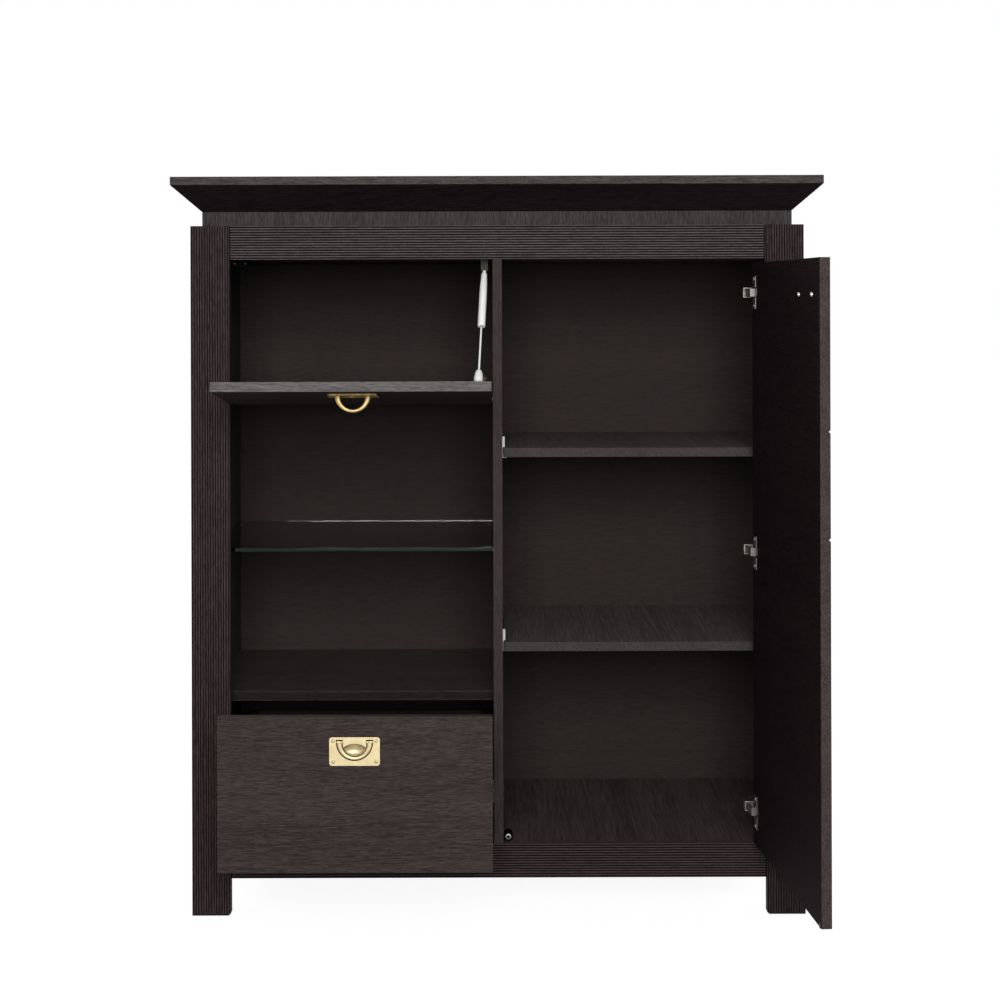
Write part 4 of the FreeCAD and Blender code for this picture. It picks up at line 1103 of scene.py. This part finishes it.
@dataclass
class DropPull(Assembly):
    """A brass plate with a hinged half-ring bail and four slotted screws."""

    name: str
    place: Matrix
    hang: Matrix
    screws: bool = True
    finish: MetalFinish = BRASS
    plate_edge: float = 0.0007
    plate_thick: float = 0.003
    bail_radius: float = 0.0335
    bail_root: float = 0.0115
    bail_bar: float = 0.0062
    bail_thick: float = 0.005
    bail_steps: int = 56
    bail_faces: int = 20
    barrel_radius: float = 0.0029
    barrel_groove: float = 0.9
    barrel_soft: float = 0.0005
    barrel_steps: int = 28
    collar: tuple[float, ...] = (0.003, 0.0034, 0.0038, 0.0042)
    pin_radius: float = 0.0015
    pin_length: float = 0.0025
    screw_spot: tuple[float, float] = (0.0398, 0.0195)
    screw_turns: tuple[float, ...] = (0.4, 1.9, 2.6, 0.9)

    def build(self) -> None:
        """Dress the plate and make the bail and its screws."""
        self.shop.dress(self.finish, self.plate_edge, f"{self.name}_pull_plate")
        parts = [self.half_ring(), self.barrel(LEFT), self.barrel(RIGHT)]
        node = f"{self.name}_bail"
        bail = moved(joined(parts), self.hang)
        self.shop.piece(f"{node}_ring", bail, self.finish, node, "antique_brass", node)
        if self.screws:
            node = f"{self.name}_pull_screws"
            heads = self.screw_set()
            self.shop.piece(f"{node}_slotted", heads, self.finish, self.name, "antique_brass", node)

    def half_ring(self) -> Mesh:
        """Make the round-bodied half ring, which is thinner at its foot.

        Returns:
            The mesh, about the bail's own pivot.
        """
        inner = self.bail_radius - self.bail_root
        drop = self.bail_radius - self.bail_bar
        shift = (drop * drop - inner * inner) / (2 * drop)
        hole = drop - shift
        mesh = bmesh.new()
        rings = []
        for step in range(self.bail_steps + 1):
            turn = math.pi + math.pi * step / self.bail_steps
            ray = Vector((math.cos(turn), 0.0, math.sin(turn)))
            near = -ray.z * shift + math.sqrt(hole * hole - shift * shift * (1 - ray.z * ray.z))
            centre, wide = ray * (self.bail_radius + near) / 2, (self.bail_radius - near) / 2
            points = []
            for face in range(self.bail_faces):
                angle = 2 * math.pi * face / self.bail_faces
                out, up = math.cos(angle), math.sin(angle)
                # The section is a little squarer than an oval, but no thicker
                full = min((out ** 4 + up ** 4) ** -0.1, 1.0 / max(abs(up), 0.01))
                side = Vector((0.0, self.bail_thick / 2 * up * full, 0.0))
                points.append(mesh.verts.new(centre + ray * wide * out + side))
            rings.append(points)
        return skinned(mesh, rings)

    def barrel(self, side: Point) -> Mesh:
        """Make one barrel with its collar lines and its pin.

        Args:
            side: Left or right.

        Returns:
            The mesh, about the bail's own pivot.
        """
        end, soft, pin = self.bail_radius, self.barrel_soft, self.pin_radius
        root = end - self.bail_root
        wide, thin = self.barrel_radius, self.barrel_radius * self.barrel_groove
        lines = zip((wide, thin, thin, wide), self.collar)
        profile = [(thin, root), (wide, root + soft)]
        profile += [(radius, root + along) for radius, along in lines]
        profile += [(wide, end - soft), (thin, end), (pin, end), (pin, end + self.pin_length)]
        return moved(lathe(profile, self.barrel_steps), turned_to(side, ORIGIN))

    def screw_set(self) -> Mesh:
        """Make the four slotted screws in their seats.

        Returns:
            The mesh of all four.
        """
        across, up = self.screw_spot
        corners = [(x * across, -self.plate_thick, z * up) for x in (-1, 1) for z in (-1, 1)]
        return joined([
            moved(PLATE_SCREW.mesh(), self.place @ turned_to(FORWARD, at, turn))
            for at, turn in zip(corners, self.screw_turns)
        ])


@dataclass
class Door(Assembly):
    """The door panel with its hinges and the bolts of its pull."""

    turn: float = math.radians(95)
    width: float = 0.508
    thick: float = 0.018
    gap: float = 0.003
    panel_edge: float = 0.0009
    hinge_edge: float = 0.0004
    strike_edge: float = 0.0002
    pull_inset: float = 0.094
    pull_height: float = 1.207
    bolt_spacing: float = 0.088
    bolt_spins: tuple[float, float] = (0.5, 1.1)
    cup_edge: float = 0.022
    cup_screws: float = 0.052
    cup_spins: tuple[float, float] = (0.3, 0.9)
    flange: float = 0.0016
    pivot_in: float = 0.0026
    pivot_out: float = 0.0023
    arm_web: float = 0.483
    arm_seat: float = 0.515
    arm_spin: float = 0.6
    rivet_back: float = 0.03
    adjusters_back: tuple[float, float] = (0.0725, 0.0885)

    def frame(self) -> Matrix:
        """Find the door's own place as it stands open.

        Returns:
            The matrix of that place.
        """
        axis = (OPENING - self.gap - self.pivot_in, POST_FRONT - self.pivot_out, 0.0)
        turned = Matrix.Translation(axis) @ Matrix.Rotation(self.turn, 4, "Z")
        return turned @ Matrix.Translation((self.pivot_in, self.pivot_out, 0.0))

    def build(self) -> None:
        """Dress the panel and hinges and make the pull and the small screws."""
        self.shop.dress(DOOR_BOARD, self.panel_edge, "door_panel")
        hinges = ("hinge_cups", "hinge_links", "hinge_plates", "hinge_arms")
        self.shop.dress(SHADED_NICKEL, self.hinge_edge, *hinges)
        self.shop.dress(BLACK_STEEL, self.strike_edge, "door_strike")
        across = self.pull_inset - self.width
        place = self.frame() @ Matrix.Translation((across, 0.0, self.pull_height))
        hang = place @ Matrix.Translation(BAIL_PIVOT)
        DropPull(self.shop, "door", place, hang, screws=False).build()
        bolts = joined([
            self.inner_screw(PULL_BOLT, (across + side, self.thick, self.pull_height), spin)
            for side, spin in zip((-self.bolt_spacing / 2, self.bolt_spacing / 2), self.bolt_spins)
        ])
        self.shop.piece("door_bolt_heads", bolts, BRIGHT_STEEL, "door", "nickel", "door_pull_bolts")
        heads, adjusters = [], []
        for height in HINGE_HEIGHTS:
            for side, spin in zip((-self.cup_screws / 2, self.cup_screws / 2), self.cup_spins):
                at = (-self.cup_edge, self.thick + self.flange, height + side)
                heads.append(self.inner_screw(FLANGE_SCREW, at, spin))
            adjusters += self.arm_screws(height)
        self.shop.piece("hinge_flange_screws", joined(heads), SHADED_NICKEL, "door", "nickel", "hinge_cup_screws")
        self.shop.piece("hinge_adjusters", joined(adjusters), SHADED_NICKEL, "carcass", "nickel")

    def inner_screw(self, screw: ScrewHead, at: Point, spin: float) -> Mesh:
        """Return a screw head on the door's inner face, at a point of the door's own place."""
        return moved(screw.mesh(), self.frame() @ turned_to(BACKWARD, at, spin))

    def arm_screws(self, height: float) -> list[Mesh]:
        """Make the rivet and the two setting screws of one hinge arm.

        Args:
            height: The hinge's height.

        Returns:
            The meshes in their places.
        """
        spots = [(ARM_RIVET, self.arm_web, self.rivet_back)]
        spots += [(ADJUSTER, self.arm_seat, back) for back in self.adjusters_back]
        return [
            moved(head.mesh(), turned_to(LEFT, (across, POST_FRONT + back, height), self.arm_spin))
            for head, across, back in spots
        ]


@dataclass
class Flap(Assembly):
    """The fold-out flap with its pull, pins and strike."""

    turn: float = math.radians(82)
    thick: float = 0.018
    pull_along: float = 0.204
    panel_edge: float = 0.0009
    fitting_edge: float = 0.0003
    bracket_edge: float = 0.0006

    def frame(self) -> Matrix:
        """Return the flap's own place as it stands open."""
        pivot = (0.0, POST_FRONT + self.thick / 2, FLAP_PIVOT)
        return Matrix.Translation(pivot) @ Matrix.Rotation(self.turn, 4, "X")

    def build(self) -> None:
        """Dress the panel and its fittings and make the pull, its bail hanging straight down."""
        self.shop.dress(FLAP_BOARD, self.panel_edge, "flap_panel")
        self.shop.dress(SHADED_NICKEL, self.fitting_edge, "flap_pivot_pins")
        self.shop.dress(BLACK_STEEL, self.fitting_edge, "flap_strike")
        self.shop.dress(OLIVE_STEEL, self.bracket_edge, "strut_flap_bracket")
        place = self.frame() @ Matrix.Translation((PULL_ACROSS, -self.thick / 2, self.pull_along))
        hang = Matrix.Translation(place @ Vector(BAIL_PIVOT))
        # The flap's pull takes the darker brass, painted shade
        DropPull(self.shop, "flap", place, hang, finish=SHADED_BRASS).build()


@dataclass
class GasStrut(Assembly):
    """The white gas strut with its chromed rod and its bell foot."""

    flap: Flap
    bracket_edge: float = 0.0005
    top: Point = (-0.025, POST_FRONT + 0.06, CEILING - 0.018)
    foot: Point = (-0.036, 0.031, 0.1)
    tube_start: float = 0.012
    tube_length: float = 0.126
    tube_radius: float = 0.0075
    taper: float = 0.05
    taper_shares: tuple[float, ...] = (0.02, 0.15, 0.3, 0.45, 0.6, 0.8, 1.0)
    shoulder: float = 0.0056
    # How far each point lies inside the shoulder and before the tube's start
    neck: Shares = ((0.0024, 0.0072), (0.0022, 0.001), (0.0008, 0.0))
    # How far each point lies inside the tube's radius and before its end
    lip: Shares = (
        (0.0, 0.0016), (0.0004, 0.0004), (0.001, 0.0), (0.0033, 0.0), (0.0035, 0.0015), (0.0044, 0.0016),
    )
    eye_radius: float = 0.006
    eye_width: float = 0.0072
    eye_hole: float = 0.003
    eye_soft: float = 0.0006
    rod_radius: float = 0.003
    rod_hidden: float = 0.012
    rod_overlap: float = 0.001
    ring_steps: int = 32
    bell_length: float = 0.018
    bell_radius: float = 0.0089
    bell_skirt: float = 0.009
    # Shares of the bell's radius with shares of its length above the foot, and of its skirt below
    dome: Shares = (
        (0.42, 1.0), (0.5, 0.985), (0.6, 0.94), (0.71, 0.85), (0.8, 0.7), (0.88, 0.5), (0.95, 0.25),
    )
    skirt: Shares = (
        (1.0, 0.0), (1.0, 0.25), (0.96, 0.5), (0.86, 0.72), (0.68, 0.88), (0.45, 0.97), (0.2, 1.0),
    )

    def build(self) -> None:
        """Make the tube, the rod and the bell along the strut's line."""
        self.shop.dress(OLIVE_STEEL, self.bracket_edge, "strut_ceiling_bracket")
        along = self.flap.frame() @ Vector(self.foot) - Vector(self.top)
        span = along.length
        line = turned_to(along, self.top)
        tube = moved(joined([lathe(self.tube()), self.eye()]), line)
        self.shop.piece("strut_white_tube", tube, WHITE_ENAMEL, "strut_tube", "white_tube", "strut_tube")
        start = self.tube_start + self.tube_length - self.rod_hidden
        end = span - self.bell_length + self.rod_overlap
        rod = moved(lathe([(self.rod_radius, start), (self.rod_radius, end)], self.ring_steps), line)
        self.shop.piece("strut_polished_rod", rod, CHROME, "strut_rod", "chromed_rod", "strut_rod")
        bell = moved(lathe(self.bell(span)), line)
        self.shop.piece("strut_bell", bell, WHITE_PLASTIC, "strut_rod", "white_plastic")

    def tube(self) -> Profile:
        """Draw the tube with its neck, its taper and the lip round the rod.

        Returns:
            The profile from the upper pivot on.
        """
        start, end = self.tube_start, self.tube_start + self.tube_length
        widening = self.tube_radius - self.shoulder
        profile = [(self.shoulder - inside, start - before) for inside, before in self.neck]
        for share in self.taper_shares:
            wide = self.shoulder + widening * math.sin(math.pi / 2 * share)
            profile.append((wide, start + self.taper * share))
        return profile + [(self.tube_radius - inside, end - before) for inside, before in self.lip]

    def bell(self, span: float) -> Profile:
        """Return the profile of the bell and of the skirt that covers the stud, at the strut's length."""
        above = scaled(self.dome, self.bell_radius, span, -self.bell_length)
        return above + scaled(self.skirt, self.bell_radius, span, self.bell_skirt)

    def eye(self) -> Mesh:
        """Make the ring that turns on the ceiling bracket's pin.

        Returns:
            The mesh, about the upper pivot.
        """
        half, soft, rim = self.eye_width / 2, self.eye_soft, self.eye_radius
        profile = [
            (self.eye_hole, -half), (rim - soft, -half), (rim, -half + soft),
            (rim, half - soft), (rim - soft, half), (self.eye_hole, half),
        ]
        return moved(lathe(profile, self.ring_steps, closed=True), turned_to(RIGHT, ORIGIN))


@dataclass
class Drawer(Assembly):
    """The drawer box with its front, pull and runners."""

    face: float = POST_FRONT - 0.19
    pull_height: float = 0.366
    front_edge: float = 0.0009
    box_edge: float = 0.0006
    runner_edge: float = 0.0005

    def build(self) -> None:
        """Dress the box and make its pull."""
        self.shop.dress(DRAWER_BOARD, self.front_edge, "drawer_front")
        self.shop.dress(BOX_ACROSS, self.box_edge, "drawer_back", "drawer_bottom")
        self.shop.dress(BOX_DEEP, self.box_edge, "drawer_left_side", "drawer_right_side")
        self.shop.dress(ZINC, self.runner_edge, "drawer_runners")
        place = Matrix.Translation((PULL_ACROSS, self.face, self.pull_height))
        DropPull(self.shop, "drawer", place, place @ Matrix.Translation(BAIL_PIVOT)).build()


@dataclass
class Lamp:
    """One soft rectangular studio lamp."""

    name: str
    at: Point
    aim: Point
    size: tuple[float, float]
    power: float

    def build(self) -> None:
        """Hang the lamp and point it."""
        data = bpy.data.lights.new(self.name, "AREA")
        data.shape = "RECTANGLE"
        data.size, data.size_y = self.size
        data.energy = self.power
        made = placed(self.name, data)
        made.matrix_world = turned_to(Vector(self.at) - Vector(self.aim), self.at)


@dataclass
class Studio:
    """The pale floor, the soft light, the white surround and the camera."""

    ambient: float = 0.12
    floor_half: float = 30.0
    floor_parts: int = 24
    floor_tone: float = 0.22
    floor_cells: Point = (3.0, 3.0, 3.0)
    floor_range: Range = (0.3, 0.7)
    floor_swing: float = 0.03
    floor_glow: float = 0.915
    floor_fade: Range = (1.3, 2.6)
    eye: Point = (0.0, -3.636, 1.199)
    lens: float = 67.2
    sensor: float = 36.0
    sight: float = 200.0
    shift: tuple[float, float] = (0.0028, -0.2)
    roll: float = math.radians(-0.175)
    lamps: list[Lamp] = field(default_factory=lambda: [
        Lamp("front lamp", (0.1, -4.4, 2.05), (0.0, 0.0, 0.75), (2.0, 2.0), 185.0),
        Lamp("left rear lamp", (-3.8, 1.7, 2.1), (-0.3, 0.3, 0.7), (1.6, 1.6), 90.0),
        Lamp("right rear lamp", (3.8, 1.7, 2.1), (0.3, 0.3, 0.7), (1.6, 1.6), 90.0),
    ])

    def build(self) -> None:
        """Set up the whole studio."""
        bpy.context.scene.view_settings.view_transform = "Standard"
        for lamp in self.lamps:
            lamp.build()
        self.surround()
        self.floor()
        self.camera()

    @staticmethod
    def seen(wiring: Wiring) -> Socket:
        """Find what the camera sees, straight, in gloss or through glass.

        Args:
            wiring: The tree that asks for it.

        Returns:
            The socket that is one for what is seen.
        """
        rays = wiring.add("LightPath").outputs
        shown = wiring.math("MAXIMUM", rays["Is Camera Ray"], rays["Is Glossy Ray"])
        return wiring.math("MAXIMUM", shown, rays["Is Transmission Ray"])

    def surround(self) -> None:
        """Make a world that looks white and lights softly."""
        world = bpy.data.worlds.new("studio")
        world.use_nodes = True
        world.node_tree.nodes.clear()
        wiring = Wiring(world.node_tree)
        soft = wiring.add("Background", {"Color": WHITE, "Strength": self.ambient})
        white = wiring.add("Background", {"Color": WHITE, "Strength": 1.0})
        mixed = wiring.add("MixShader", {0: self.seen(wiring), 1: soft.outputs[0], 2: white.outputs[0]})
        wiring.add("OutputWorld", {"Surface": mixed.outputs[0]})
        bpy.context.scene.world = world

    def floor(self) -> None:
        """Lay the pale floor, which keeps the cabinet's shadow."""
        mesh = bmesh.new()
        parts = self.floor_parts
        bmesh.ops.create_grid(mesh, x_segments=parts, y_segments=parts, size=self.floor_half)
        made = mesh_object("studio_floor", mesh)
        paint = bpy.data.materials.new("pale floor")
        paint.use_nodes = True
        paint.node_tree.nodes.clear()
        wiring = Wiring(paint.node_tree)
        at = wiring.add("TexCoord").outputs["Object"]
        tones = (self.floor_tone * (1.0 - self.floor_swing), self.floor_tone * (1.0 + self.floor_swing))
        tone = wiring.remap(wiring.noise(at, self.floor_cells), self.floor_range, tones)
        grey = wiring.add("CombineColor", {0: tone, 1: tone, 2: tone}).outputs[0]
        matt = wiring.add("BsdfDiffuse", {"Color": grey})
        away = wiring.vector("LENGTH", at)["Value"]
        level = wiring.remap(away, self.floor_fade, (self.floor_glow, 1.0))
        strength = wiring.math("MULTIPLY", self.seen(wiring), level)
        glow = wiring.add("Emission", {"Color": WHITE, "Strength": strength})
        both = wiring.add("AddShader", {0: matt.outputs[0], 1: glow.outputs[0]})
        wiring.add("OutputMaterial", {"Surface": both.outputs[0]})
        made.data.materials.append(paint)

    def camera(self) -> None:
        """Set up the camera where the photograph was taken from."""
        data = bpy.data.cameras.new("photograph")
        data.lens = self.lens
        data.sensor_width = self.sensor
        data.shift_x, data.shift_y = self.shift
        data.clip_end = self.sight
        made = placed("photograph", data)
        made.matrix_world = turned_to(FORWARD, self.eye, self.roll)
        bpy.context.scene.camera = made


def corners(box: object) -> list[list[float]]:
    """Return a box's two corners as plain lists of numbers."""
    return [[float(value) for value in corner] for corner in box]


def main() -> None:
    """Build the cabinet's classes in order."""
    logging.basicConfig(level=logging.INFO, format="%(name)s: %(message)s")
    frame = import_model()
    shop = Workshop(frame["nodes"])
    flap = Flap(shop)
    for assembly in (Carcass(shop), Catches(shop), Door(shop), flap, GasStrut(shop, flap), Drawer(shop)):
        assembly.build()
    Studio().build()
    left = sorted(set(frame["nodes"]) - shop.dressed)
    LOG.info("replaced or undressed nodes: %s", ", ".join(left))


if __name__ == "__main__":
    main()
